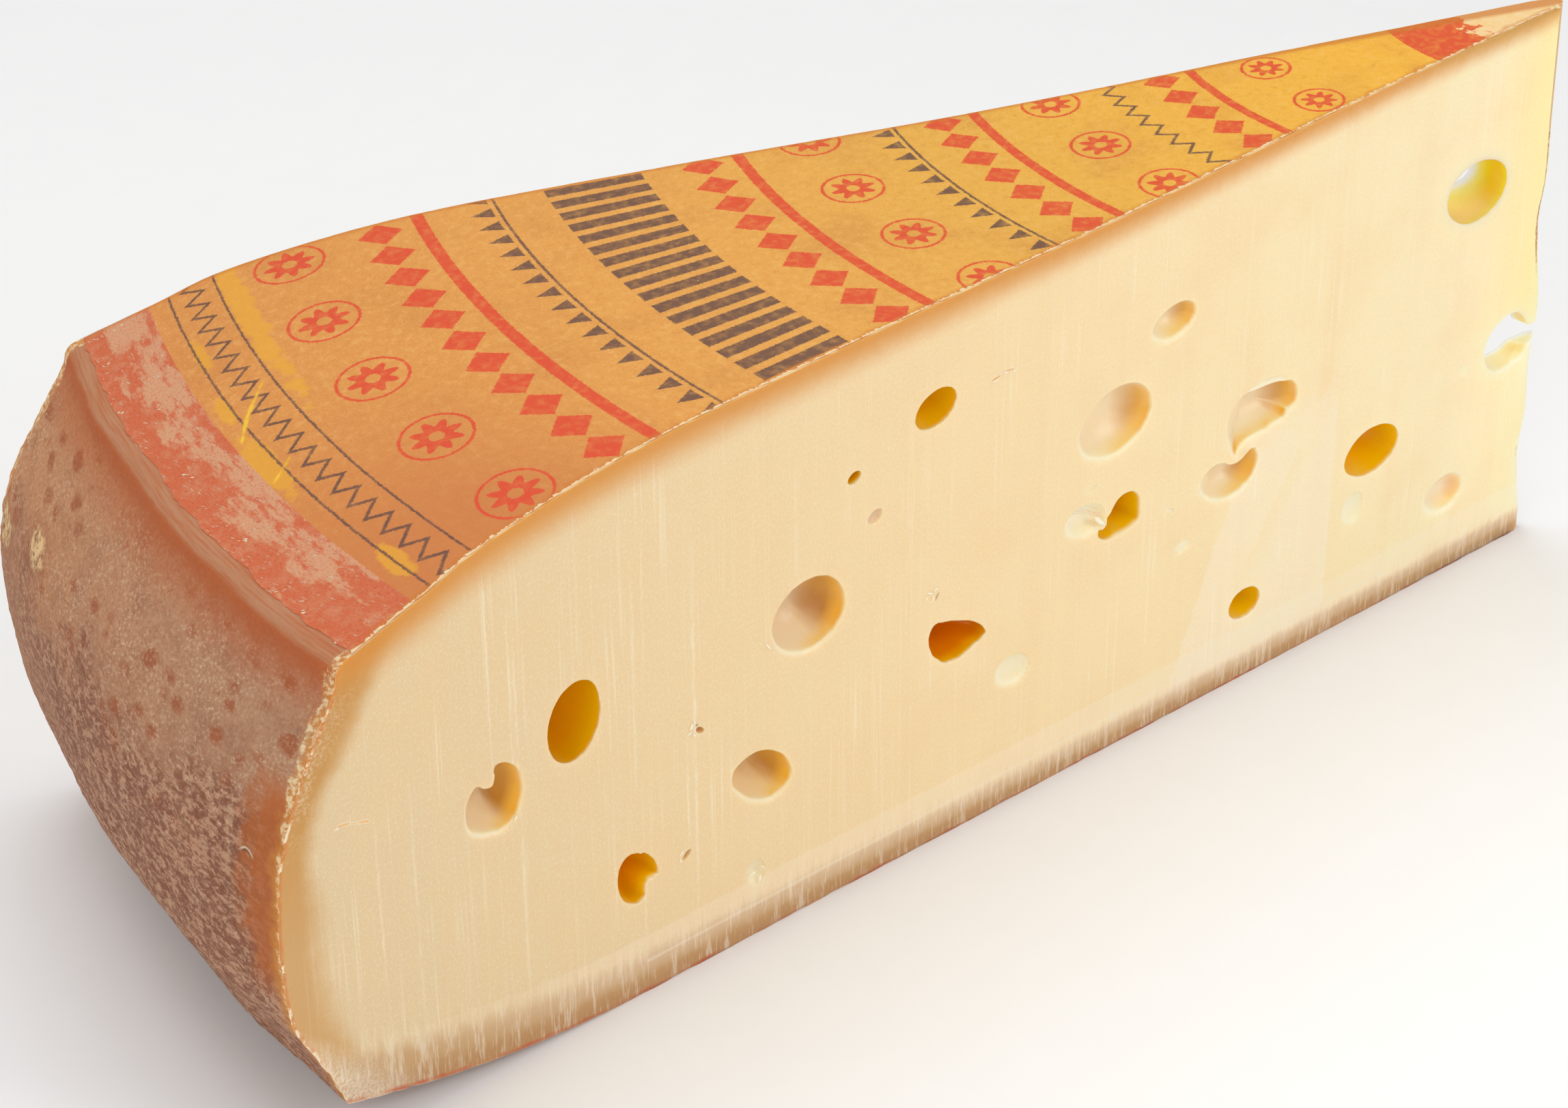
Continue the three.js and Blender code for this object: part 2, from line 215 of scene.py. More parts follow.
# An eye is one or more lobes: radius, height, width, height of its mouth, tilt, depth, and how far under
# the face it is widest. An outline gives an irregular mouth as radius and height, with the deepest place.
nearEyes = [
    {"lobes": [(354.6, 89, 15.2, 21.4, -9, 22, 8)]},
    {"outline": [(370.3, 78.7), (370.7, 81.3), (371.7, 84), (373.8, 86.2), (376, 87.3), (377.3, 87),
                 (377.7, 85.3), (377.5, 84), (378.2, 82.3), (379.5, 81.7), (381.3, 82.2), (383, 83.5),
                 (384.5, 82.3), (385.7, 80), (386.2, 77), (385.8, 73.3), (384.5, 71.2), (382.3, 69.8),
                 (379.7, 69), (377, 68.3), (374.7, 69), (372.7, 70.7), (371.7, 72.7), (370.7, 76)],
                 "deepest": (377, 76.5), "depth": 11, "seat": 0.5},
    {"outline": [(331.1, 34.9), (331.4, 36.4), (332.1, 38.3), (333.6, 40.5), (335.2, 42.1),
                 (336.4, 42.3), (337.2, 43), (339.3, 43.5), (341, 43), (342.4, 41.4), (343.2, 38.9),
                 (343.4, 36.1), (343, 33.6), (342.1, 31.3), (340.7, 29.6), (338.9, 28.5), (337.4, 28.1),
                 (335.5, 29.1), (335.3, 30.8), (335, 32.4), (334.1, 33.6), (331.6, 33.9)],
                 "deepest": (338.4, 36.4), "depth": 14, "seat": 3, "golden": 1.25},
    {"outline": [(287.5, 44.6), (288.2, 46.8), (289.6, 49.6), (292.1, 52.1), (295, 53.9), (297.9, 54.9),
                 (300.7, 55.1), (303.6, 54.4), (305.4, 52.9), (306, 50.4), (305.5, 47.5), (303.9, 45),
                 (301.4, 42.5), (298.2, 40.5), (294.3, 39.3), (291.1, 40), (288.6, 41.8)],
                 "deepest": (295.4, 47.4), "depth": 11.5, "seat": 1},
    {"lobes": [(299.6, 19, 6.2, 7.8, 20, 1.8, -1)]},
    {"lobes": [(281.4, 87.9, 23.2, 20.2, -8, 12.5, 1)]},
    {"outline": [(221.3, 57.2), (221.8, 58.8), (223, 60.4), (225.5, 62.4), (228, 63.8), (230.9, 64.9),
                 (233.7, 65.9), (236.2, 66.5), (238.5, 67.1), (240, 66.5), (240.9, 64.5), (240.9, 62),
                 (240.1, 59.1), (239.1, 57.4), (237.3, 55.6), (235.7, 54.1), (233.7, 53.6),
                 (230.5, 53.3), (228.4, 53.8), (226.9, 54.5), (225.1, 55.4), (223, 56.1)],
                 "deepest": (232.8, 60.4), "depth": 18, "seat": 4, "golden": 1.6},
    {"lobes": [(210.8, 41.1, 13.2, 9.8, -12, 2.4, -1.5)]},
    {"lobes": [(240, 130.2, 13.6, 9.8, 13, 12, 4)]},
    {"lobes": [(267, 121, 4.3, 3, 18, 6, 2)], "golden": 1.6},
    {"lobes": [(175.5, 102.6, 26.2, 19.8, 6, 8.5, -1)]},
    {"lobes": [(155.1, 124.9, 15.6, 9.8, 8, 6, -0.5)]},
    {"outline": [(104.3, 84.4), (104.9, 87.3), (106.5, 89.4), (108.7, 90.6), (112.4, 91.3),
                 (118.7, 91.3), (122.4, 91.7), (125.3, 92.7), (127.8, 91.6), (129.9, 89.4),
                 (131.2, 86.2), (131.3, 82.5), (130.8, 79.8), (129.6, 77.1), (128.3, 74.8),
                 (127.1, 76.2), (124.6, 77.5), (120.5, 78.1), (116, 78.1), (113.7, 78.9), (110.1, 79.1),
                 (108.8, 80), (108.3, 81.5), (106.9, 81.5), (105.3, 82.3)], "deepest": (116.4, 85.2),
                 "depth": 9, "seat": 0.3},
    {"lobes": [(117.8, 91.6, 16.4, 5, -1, 1.5, -0.7)]},
    {"outline": [(119, 69.8), (119.7, 72.5), (120.5, 73.9), (121.9, 74.3), (123.5, 73.5), (126, 72.2),
                 (128.7, 72), (131, 72.8), (132.8, 73.9), (135.3, 74.4), (137.8, 74), (140.1, 72.5),
                 (141.3, 70.3), (140.5, 67.8), (138.5, 65.5), (135.5, 63.4), (131, 61.9), (126.5, 62.3),
                 (122.8, 63.7), (120.5, 66.2)], "deepest": (127.8, 67.4), "depth": 7.5, "seat": 0.3},
    {"outline": [(165.2, 73.4), (165.3, 75.3), (166.5, 77.2), (168.4, 78.6), (171.1, 79), (173.4, 78.4),
                 (175.1, 76.8), (176.1, 75), (177.8, 74), (179.6, 73), (180.3, 71), (179.8, 69.8),
                 (178.4, 68.5), (176.1, 67.5), (173.4, 67.9), (170.3, 67.9), (167.6, 68.5),
                 (165.7, 69.4), (165.2, 71.1)], "deepest": (170.6, 73), "depth": 14, "seat": 3.5,
                 "keep": (179.2, 73.2, 3.2, 3.6, 0)},
    {"lobes": [(185.6, 76.6, 15, 10, -10, 3, -1)]},
    {"lobes": [(120.5, 24.4, 12.4, 9.4, -4, 10.5, 2.5)]},
    {"lobes": [(70.6, 54.4, 22.4, 14.8, 0, 15.5, 4)]},
    {"lobes": [(76.8, 37.9, 8.8, 10.8, 0, 2, -1)]},
    {"lobes": [(35.6, 26.9, 16.6, 12.2, 0, 4.4, -1)]},
    {"lobes": [(34.2, 123.2, 25.2, 18.2, -6, 17.5, 6.4)], "golden": 0.7},
    {"lobes": [(13.4, 68.6, 19.4, 17.4, 12, 34, 4), (3.6, 67.4, 12, 6, 10, 30, 3),
               (7.4, 63.4, 8, 5.4, 20, 3, 0)], "golden": 0, "hollow": 0.3},
]
farEyes = [
    {"lobes": [(376, 98, 17, 22, 10, 17, 6)]},
    {"lobes": [(341, 60, 23, 17, -16, 10, 0)]},
    {"lobes": [(361, 31, 11, 9, 0, 8, 2)]},
    {"lobes": [(309, 122, 13, 11, 20, 12, 3)]},
    {"lobes": [(292, 80, 24, 19, 6, 12, 0), (280, 73, 13, 11, -10, 7, 0)]},
    {"lobes": [(263, 35, 16, 20, -12, 15, 4)]},
    {"lobes": [(241, 104, 21, 15, 15, 8, -1)]},
    {"lobes": [(221, 61, 9, 7, 0, 3, -1)]},
    {"lobes": [(201, 129, 15, 11, -8, 12, 3)]},
    {"lobes": [(187, 83, 26, 19, 12, 12, 0), (199, 76, 12, 13, 0, 7, 0)]},
    {"lobes": [(168, 38, 14, 11, 0, 8, 1)]},
    {"lobes": [(141, 110, 12, 9, 0, 4, -1)]},
    {"lobes": [(127, 60, 19, 14, -14, 10, 1)]},
    {"lobes": [(97, 98, 13, 16, 5, 5, -1)]},
    {"lobes": [(89, 31, 9, 8, 0, 3, -1)]},
]
# small pocks, nicks and cracks in the near face
nearMarks = [
    {"lobes": [(316.9, 69.8, 3.2, 1.7, -38, 1.6, 0.2)], "pock": 0.5},
    {"lobes": [(317.9, 71.6, 1.0, 0.9, 0, 1.0, 0.2)], "pock": 0.5},
    {"lobes": [(322.0, 35.2, 3.4, 1.6, 40, 1.5, 0.2)], "pock": 0.5},
    {"lobes": [(238.7, 75.4, 2.6, 1.0, 62, 1.1, 0)], "pock": 0.5},
    {"lobes": [(260.0, 107.4, 5.2, 3.8, 15, 1.6, -0.4)], "pock": 0.35},
    {"lobes": [(184.3, 85.7, 5.5, 1.6, 0, 0.7, -0.5)]},
    {"lobes": [(153.2, 66.8, 4, 2.4, -18, 0.8, -0.4)]},
    {"lobes": [(147.4, 53.6, 7.5, 4.5, 8, 0.8, -0.7)]},
    {"lobes": [(31.7, 65.8, 4.4, 5, 0, 1.0, -0.4)]},
]

# crumbs and shreds of paste that the knife left on the near face: radius, height, length, width, tilt
nearShreds = [
    (180.6, 74.8, 6.4, 1.5, -48), (319.8, 72.0, 2.2, 0.9, 62), (320.4, 70.4, 1.8, 0.8, 15),
    (319.0, 69.3, 1.3, 0.7, 120), (318.9, 73.0, 1.4, 0.6, 100), (323.8, 36.4, 2.0, 0.8, 50),
    (324.2, 34.6, 1.5, 0.7, 100), (241.4, 77.6, 2.4, 0.7, -24), (240.4, 75.6, 2.2, 0.6, 75),
    (239.4, 78.0, 1.6, 0.6, 20), (242.6, 76.4, 1.2, 0.5, 70), (220.0, 131.0, 2.8, 0.7, 10),
    (216.6, 132.0, 2.2, 0.6, -15), (213.8, 131.4, 1.3, 0.5, 20), (298.6, 16.6, 2.4, 0.8, 70),
    (300.8, 19.4, 1.6, 0.7, 10), (297.6, 19.8, 1.4, 0.6, 120), (422.0, 90.4, 1.6, 0.6, 5),
    (295.2, 84.6, 3.4, 0.7, -56), (373.0, 70.4, 1.6, 0.5, 60),
]


def faceMatrix(near):
    right = -toNear if near else toFar
    out = nearOut if near else farOut
    return np.column_stack([right, [0, 0, 1], out])


def leant(across, up, lean):
    return np.stack([across * math.cos(lean) - up * math.sin(lean),
                     across * math.sin(lean) + up * math.cos(lean)], axis=-1)


# noise on a tube, so that it closes on itself; reach is how many of its grains fit across
def noiseRound(angles, reach, shift, heights):
    return np.array([noise.noise(Vector((math.cos(a) * reach, math.sin(a) * reach, shift + h)))
                     for a, h in zip(angles, heights)])


# faces round a lobe: the most where it is irregular, or wide and on the near side
def segmentsOf(lobe, near, width):
    counts = cheese["segments"]
    if isinstance(lobe, dict):
        return counts["outline"]
    if width > cheese["wide"]:
        return counts["nearWide"] if near else counts["farWide"]
    return counts["middling"] if width > cheese["small"] else counts["small"]


# One lobe of an eye as a closed cutter whose mouth lies on a cut face, with a lip that widens outwards.
# The lip is soft below and towards the rim, where the knife dragged the paste.
def lobeCutter(lobe, near, seed, lip=True):
    flip = np.array([-1 if near else 1, 1])
    round1 = np.linspace(0, 2 * math.pi, cheese["mouthPoints"], endpoint=False)
    if isinstance(lobe, dict):
        keys = np.array(lobe["outline"]) * flip
        mouth = splineThrough([*keys[-1:], *keys, *keys[:2]], (len(keys) + 2) * 60 + 1)[60:-60]
        mouth = mouth[np.arange(cheese["mouthPoints"]) * (len(mouth) - 1) // cheese["mouthPoints"]]
        centre, depth, seat = np.array(lobe["deepest"]) * flip, lobe["depth"], lobe["seat"]
        width, tall = np.ptp(keys, axis=0)
    else:
        at, height, width, tall, tilt, depth, seat = lobe
        centre, lean = np.array([at, height]) * flip, math.radians(tilt)
        across, up = width / 2 * np.cos(round1), tall / 2 * np.sin(round1)
        mouth = centre + leant(across, up, lean)
    step = np.roll(mouth, -1, axis=0) - np.roll(mouth, 1, axis=0)
    outwards = np.stack([step[:, 1], -step[:, 0]], axis=-1) / np.linalg.norm(step, axis=1)[:, None]
    # an irregular mouth is rounder inside, where its far corners ramp down to the deepest place
    share = np.minimum(np.arange(len(mouth)), len(mouth) - np.arange(len(mouth))) / len(mouth)
    window = np.exp(-0.5 * (share / cheese["innerSpread"]) ** 2)
    window = np.fft.rfft(window / window.sum())[:, None]
    inside = np.fft.irfft(np.fft.rfft(mouth, axis=0) * window, len(mouth), axis=0)
    reach = np.linalg.norm(inside - centre, axis=1)
    power = np.full(len(mouth), 2.0)
    if isinstance(lobe, dict):
        power = np.clip(2 * (np.median(reach) / reach) ** 0.9, 0.95, 2.2)

    deep = depth - seat
    rings = cheese["outerRings"] + [w for w in cheese["lipRings"] if w > -0.4 * depth]
    firstAngle = math.acos(min(1, (seat + rings[-1]) / deep))
    inner = 11 if width > 8 else 6
    turned = [firstAngle + (math.pi - firstAngle) * k / inner for k in range(1, inner)]
    rings += [deep * math.cos(angle) - seat for angle in turned]
    segments = segmentsOf(lobe, near, width)
    bpy.ops.mesh.primitive_uv_sphere_add(segments=segments, ring_count=len(rings) + 1, radius=1)
    cutter = bpy.context.active_object
    ball = readPlaces(cutter) * mm
    angle = np.arctan2(ball[:, 1], ball[:, 0])
    k = np.rint(angle / (2 * math.pi) * cheese["mouthPoints"]).astype(int) % cheese["mouthPoints"]
    ring = np.rint(np.arccos(np.clip(ball[:, 2], -1, 1)) / math.pi * (len(rings) + 1)).astype(int)
    w = np.array([rings[0]] + rings + [-depth])[ring]
    pole = (ring == 0) | (ring == len(rings) + 1)
    mouth, inside, outwards, power = mouth[k], inside[k], outwards[k], power[k]
    swell = (1 - np.clip(np.abs((np.minimum(w, 0) + seat) / deep), 0, 1) ** power) ** (1 / power)
    swell /= (1 - np.abs(seat / deep) ** power) ** (1 / power)
    swell[pole] = 0
    mouth = mouth + (inside - mouth) * smooth(-w, 0.5, 0.45 * depth)[:, None]
    facing = outwards @ (flip * cheese["softSide"])
    steep = smooth(depth / min(width, tall), 0.65, 1.0)         # the lip of a deep eye is crisp all round
    soft = cheese["lipCrisp"] + cheese["lipSoft"] * (1 - 0.85 * steep) * (0.5 + 0.5 * facing) ** 2
    soft = soft * min(1, depth / 5) * min(1, width / 9)
    wobble = noiseRound(angle, 1.3, seed * 3.7, w / 9)
    fine = noiseRound(angle, 7, seed * 5.1, w / 2.5)
    flare = np.where(w > -soft, soft * np.clip(1 + w / soft, 0, None) ** 2, 0) if lip else 0
    flare = np.where(w > 0, soft + 1.6 * w, flare) if lip else 0
    torn = 0.12 + 0.34 * np.clip(outwards @ (flip * [-0.6, -0.8]), 0, 1)
    fade = np.clip(1 + w / cheese["tearFade"], 0.1, 1)
    grow = (0.03 * wobble * min(width, tall) / 2 + torn * fine * fade) * min(1, width / 6)
    push = np.where(pole, 0, flare + grow)
    flat = centre + swell[:, None] * (mouth - centre) + push[:, None] * outwards
    writePlaces(cutter, np.column_stack([flat, w]) @ faceMatrix(near).T + [wheel["axisX"], 0, 0])
    return cutter


def joinAll(pieces):
    deselectAll()
    for piece in pieces:
        piece.select_set(True)
    bpy.context.view_layer.objects.active = pieces[0]
    bpy.ops.object.join()
    return pieces[0]


def eyeCutter(eye, near, seed):
    lobes = ([eye] if "outline" in eye else []) + eye.get("lobes", [])
    cutters = [lobeCutter(lobe, near, seed + k * 0.37) for k, lobe in enumerate(lobes)]
    whole = cutters[0]
    for other in cutters[1:]:
        applyModifier(whole, "BOOLEAN", operation="UNION", solver="MANIFOLD", object=other)
        bpy.data.objects.remove(other)
    if "keep" in eye:
        tongue = lobeCutter((*eye["keep"], 18, 0), near, seed + 0.8, lip=False)
        applyModifier(whole, "BOOLEAN", operation="DIFFERENCE", solver="MANIFOLD", object=tongue)
        bpy.data.objects.remove(tongue)
    if "keep" in eye or len(cutters) > 1:       # the seams between its lobes are melted away
        applyModifier(whole, "REMESH", mode="VOXEL", voxel_size=cheese["seamVoxel"] * mm)
        applyModifier(whole, "SMOOTH", factor=0.5, iterations=cheese["seamSmoothing"])
        applyModifier(whole, "DECIMATE", ratio=cheese["seamShare"])
    if "outline" in eye:
        width, tall, depth = *np.ptp(eye["outline"], axis=0), eye["depth"]
    else:
        width, tall, depth = lobes[0][2], lobes[0][3], lobes[0][5]
    golden = eye.get("golden", smooth(depth / min(width, tall), 0.65, 1.0))
    hollow = eye.get("hollow", smooth(depth, 1.5, 6.5))
    for name, value in (("golden", golden), ("hollow", hollow), ("pock", eye.get("pock", 0))):
        setPointAttribute(whole, name, np.full(len(whole.data.vertices), value))
    return whole


def boxOf(piece):
    places = readPlaces(piece)
    return places.min(axis=0), places.max(axis=0)


def boxesMeet(first, second):
    return (first[0] < second[1]).all() and (first[1] > second[0]).all()


# cutters that reach into each other are made one, the others only joined
def mergeCutters(cutters):
    apart = []
    for cutter in cutters:
        touched = [other for other in apart if boxesMeet(boxOf(other), boxOf(cutter))]
        for other in touched:
            applyModifier(cutter, "BOOLEAN", operation="UNION", solver="MANIFOLD", object=other)
            apart.remove(other)
            bpy.data.objects.remove(other)
        apart.append(cutter)
    return joinAll(apart)


# a shred is a thin flat flake, half sunk in the near face
def makeShred(shred, seed):
    at, height, length, width, tilt = shred
    bpy.ops.mesh.primitive_uv_sphere_add(segments=14, ring_count=9, radius=1)
    flake = bpy.context.active_object
    ball = readPlaces(flake) * mm
    bend = 0.35 * (ball[:, 0] ** 2 - 0.5)
    crinkle = np.array([noise.noise(Vector(p) * 1.9 + Vector((seed * 3.1, 0, 0))) for p in ball])
    x = ball[:, 0] * length / 2
    y = (ball[:, 1] * (1 - 0.5 * ball[:, 0] ** 2) + 0.6 * bend) * width / 2 * (1 + 0.5 * crinkle)
    w = ball[:, 2] * 0.42 + 0.25 * bend + 0.12 * crinkle
    lean = math.radians(tilt)
    flat = np.column_stack([leant(x, y, lean) + [-at, height], w])
    writePlaces(flake, flat @ faceMatrix(True).T + [wheel["axisX"], 0, 0])
    return flake


# the centres of the faces from the wheel's axis, their normals, and how far out they are
def readFaces(piece):
    centres = np.empty(len(piece.data.polygons) * 3, np.float32)
    normals = np.empty_like(centres)
    piece.data.polygons.foreach_get("center", centres)
    piece.data.polygons.foreach_get("normal", normals)
    centres = centres.reshape(-1, 3) / mm - [wheel["axisX"], 0, 0]
    return centres, normals.reshape(-1, 3), np.hypot(centres[:, 0], centres[:, 1])


def buildCheese():
    deselectAll()
    bpy.ops.mesh.primitive_grid_add(x_subdivisions=cheese["columns"], y_subdivisions=cheese["rows"], size=1)
    piece = bpy.context.active_object
    piece.name = piece.data.name = "cheeseBody"
    grid = readPlaces(piece) * mm
    u = np.interp(grid[:, 0] + 0.5, *np.array(cheese["columnSpacing"]).T)
    v = np.interp(grid[:, 1] + 0.5, *np.array(cheese["rowSpacing"]).T)
    start = cheese["startRadius"]
    # the section is filled between its four sides: axis, underside, rim and top
    underR, topR = start + u * (wheel["cornerRadius"] - start), start + u * (topLine[-1, 0] - start)
    underZ, topZ = underHeight(underR), topHeight(topR) - wheel["labelDrop"]
    rimR = np.interp(v * rimLength[-1], rimLength, rimLine[:, 0])
    rimZ = np.interp(v * rimLength[-1], rimLength, rimLine[:, 1])
    axisZ = v * (topLine[0, 1] - wheel["labelDrop"])
    cornerR, cornerZ = wheel["cornerRadius"], wheel["cornerHeight"]
    edgeR, edgeZ = topLine[-1, 0], topLine[-1, 1] - wheel["labelDrop"]
    corners = (1 - u) * start + u * ((1 - v) * cornerR + v * edgeR)
    r = (1 - v) * underR + v * topR + (1 - u) * start + u * rimR - corners
    z = (1 - v) * underZ + v * topZ + (1 - u) * axisZ + u * rimZ
    z -= (1 - u) * v * (topLine[0, 1] - wheel["labelDrop"]) + u * ((1 - v) * cornerZ + v * edgeZ)
    upright = np.stack([0 * z, 0 * z, z], axis=-1)
    writePlaces(piece, toNear * r[:, None] + [[wheel["axisX"], 0, 0]] + upright)

    editing(piece)
    bpy.ops.object.mode_set(mode="EDIT")
    bpy.ops.mesh.select_all(action="SELECT")
    bpy.ops.mesh.spin(steps=cheese["steps"], angle=2 * halfAngle, center=(wheel["axisX"] * mm, 0, 0),
                      axis=(0, 0, 1))
    bpy.ops.mesh.select_all(action="SELECT")
    bpy.ops.mesh.normals_make_consistent(inside=False)
    bpy.ops.object.mode_set(mode="OBJECT")

    # the covered top and the underside get fewer faces away from the cuts
    centres, normals, radius = readFaces(piece)
    fromCut = (halfAngle - np.abs(np.arctan2(centres[:, 1], -centres[:, 0]))) * radius
    hidden = (fromCut > cheese["hiddenFromCut"]) & (radius < cheese["hiddenRadius"])
    selectFaces(piece, (np.abs(normals[:, 2]) > 0.9) & hidden)
    bpy.ops.mesh.decimate(ratio=cheese["hiddenShare"])
    bpy.ops.object.mode_set(mode="OBJECT")

    # the rim gets twice the faces, for its relief
    centres, normals, radius = readFaces(piece)
    facing = (centres[:, :2] * normals[:, :2]).sum(1) / radius
    selectFaces(piece, (radius > 410) & (facing > 0.35))
    bpy.ops.mesh.subdivide(number_cuts=1, ngon=True)
    bpy.ops.object.mode_set(mode="OBJECT")

    places = readPlaces(piece)
    rel = places - [wheel["axisX"], 0, 0]
    r = np.hypot(rel[:, 0], rel[:, 1])
    side = np.clip((np.arctan2(rel[:, 1], -rel[:, 0]) / halfAngle + 1) / 2, 0, 1)
    z = rel[:, 2]
    depths = rindDepths(r, z)
    places = wedgePlace(r, side, z)

    # relief: the rind is uneven, its cut edges are crumbly, and the cut faces wave a little
    onRim = smooth(r, 412, 420) * (rimRadius(z) - r < 0.5)
    coarse = noiseAt(places, 17, 3, 1)
    grain = noiseAt(places, 3.2, 4, 2)
    arc = side * 2 * halfAngle * r
    edge = np.minimum(arc, 2 * halfAngle * r - arc)          # distance from the nearer cut along the rind
    crumble = noiseAt(places, 2.2, 3, 3)
    outward = np.stack([-np.cos((2 * side - 1) * halfAngle), np.sin((2 * side - 1) * halfAngle),
                        0 * side], axis=-1)
    worn = 0.25 + 0.45 * np.clip(crumble, 0, 1)
    lift = onRim * (0.35 * coarse + 0.22 * grain) - onRim * (1 - smooth(edge, 0, 4)) * worn
    places += outward * lift[:, None]
    onUnder = (z - underHeight(r) < 0.3) & (r > 3)
    places[:, 2] += np.where(onUnder & (edge < 3), 0.5 * np.clip(crumble, 0, 1) * (1 - edge / 3), 0)
    faceWave = 0.12 * noiseAt(places * [1, 1, 0.3], 30, 2, 4)
    nearSkin, farSkin = (side < 0.001) & (r > 6), (side > 0.999) & (r > 6)
    places[nearSkin] += nearOut * faceWave[nearSkin, None]
    places[farSkin] += farOut * faceWave[farSkin, None]
    writePlaces(piece, places)
    for name, values in depths.items():
        setPointAttribute(piece, name, values)
    setPointAttribute(piece, "skin", np.ones(len(places)))
    setPointAttribute(piece, "side", side)
    print("cheese swept", len(piece.data.vertices), "points")
    return piece


def readAttribute(piece, name):
    values = np.empty(len(piece.data.vertices), np.float32)
    piece.data.attributes[name].data.foreach_get("value", values)
    return values


def cutEyes(piece):
    cutters = [eyeCutter(eye, True, 1 + k) for k, eye in enumerate(nearEyes)]
    cutters += [eyeCutter(eye, True, 60 + k) for k, eye in enumerate(nearMarks)]
    cutters += [eyeCutter(eye, False, 30 + k) for k, eye in enumerate(farEyes)]
    allEyes = mergeCutters(cutters)
    applyModifier(piece, "BOOLEAN", operation="DIFFERENCE", solver="MANIFOLD", object=allEyes)
    bpy.data.objects.remove(allEyes)
    allShreds = joinAll([makeShred(shred, k) for k, shred in enumerate(nearShreds)])
    applyModifier(piece, "BOOLEAN", operation="UNION", solver="MANIFOLD", object=allShreds)
    bpy.data.objects.remove(allShreds)

    # what the materials need to know of each point: how deep it lies under the rind and in an eye
    places = readPlaces(piece) - [wheel["axisX"], 0, 0]
    r, z = np.hypot(places[:, 0], places[:, 1]), places[:, 2]
    onSkin = readAttribute(piece, "skin") > 0.5
    for name, values in rindDepths(r, z).items():
        setPointAttribute(piece, name, np.where(onSkin, readAttribute(piece, name), values))
    bow = wheel["tipWidth"] * np.maximum(0, 1 - r / wheel["tipFlare"]) ** 2
    fromNear, fromFar = -places @ nearOut, bow - places @ farOut
    depth = np.where(onSkin, 0, np.minimum(fromNear, fromFar))     # less than 0 on a shred
    normals = np.empty(len(places) * 3, np.float32)
    piece.data.vertex_normals.foreach_get("vector", normals)
    normals = normals.reshape(-1, 3)
    towardsTip = np.where(fromNear < fromFar, normals @ toNear, normals @ toFar)
    setPointAttribute(piece, "eyeDepth", depth)
    # 1 on the wall nearest the tip
    setPointAttribute(piece, "eyeTip", np.where(onSkin, 0, towardsTip))
    setPointAttribute(piece, "eyeUp", np.where(onSkin, 0, -normals[:, 2]))      # 1 on an eye's ceiling
    print("eyes cut,", sum(len(face.vertices) - 2 for face in piece.data.polygons), "triangles")


cheeseBody = buildCheese()
cutEyes(cheeseBody)


# the label: a sheet of paper over the whole top, a polar grid given a thickness
label = {
    "columns": 150,
    "steps": 84,
    "columnSpacing": [(0, 0), (0.05, 0.02), (0.88, 0.95), (1, 1)],
    "radius": 414.4,
    "thickness": 0.4,
    "inset": 0.45,          # paper edge behind the cut faces
    "lift": 0.04,           # over the rind
    "tear": 0.7,            # raggedness of the outer edge
}


def buildLabel():
    deselectAll()
    bpy.ops.mesh.primitive_grid_add(x_subdivisions=label["columns"], y_subdivisions=label["steps"], size=1)
    piece = bpy.context.active_object
    piece.name = piece.data.name = "labelPaper"
    grid = readPlaces(piece) * mm
    u = np.interp(grid[:, 0] + 0.5, *np.array(label["columnSpacing"]).T)
    side = grid[:, 1] + 0.5
    edge = np.array([noise.fractal(Vector((s * 44, 0.3, 0)), 0.6, 2.2, 4,
                                   noise_basis="PERLIN_NEW") for s in side])
    r = 0.1 + u * (label["radius"] - 0.1) + label["tear"] * edge * smooth(u, 0.985, 1)
    rough = np.array([noise.fractal(Vector((a / 2.6, b * 3, 7)), 0.8, 2.1, 3,
                                    noise_basis="PERLIN_NEW") for a, b in zip(r, side)])
    inset = label["inset"] + 0.22 * rough * (np.abs(2 * side - 1) > 0.999)
    base = topHeight(r) - wheel["labelDrop"]
    place = wedgePlace(r, side, base)
    away = (1 - side)[:, None] * nearOut + side[:, None] * farOut
    hold = np.abs(2 * side - 1)[:, None]
    place -= inset[:, None] * away * hold
    place[:, 0] -= label["inset"] * (1 - smooth(r, 0, 6))
    swell = noiseAt(place, 34, 2, 11)
    place[:, 2] += label["lift"] + 0.10 + 0.09 * swell
    writePlaces(piece, place)
    applyModifier(piece, "SOLIDIFY", thickness=label["thickness"] * mm, offset=1, use_even_offset=True)
    print("label laid,", len(piece.data.polygons), "faces")
    return piece


labelPaper = buildLabel()


mixSockets = (0, 6, 7)      # share, under and over of two colours
mixOut = 2
eased = {"interpolation_type": "SMOOTHSTEP"}


def colour(code):
    parts = [int(code[k:k + 2], 16) / 255 for k in (1, 3, 5)]
    return [c / 12.92 if c <= 0.04045 else ((c + 0.055) / 1.055) ** 2.4 for c in parts] + [1]


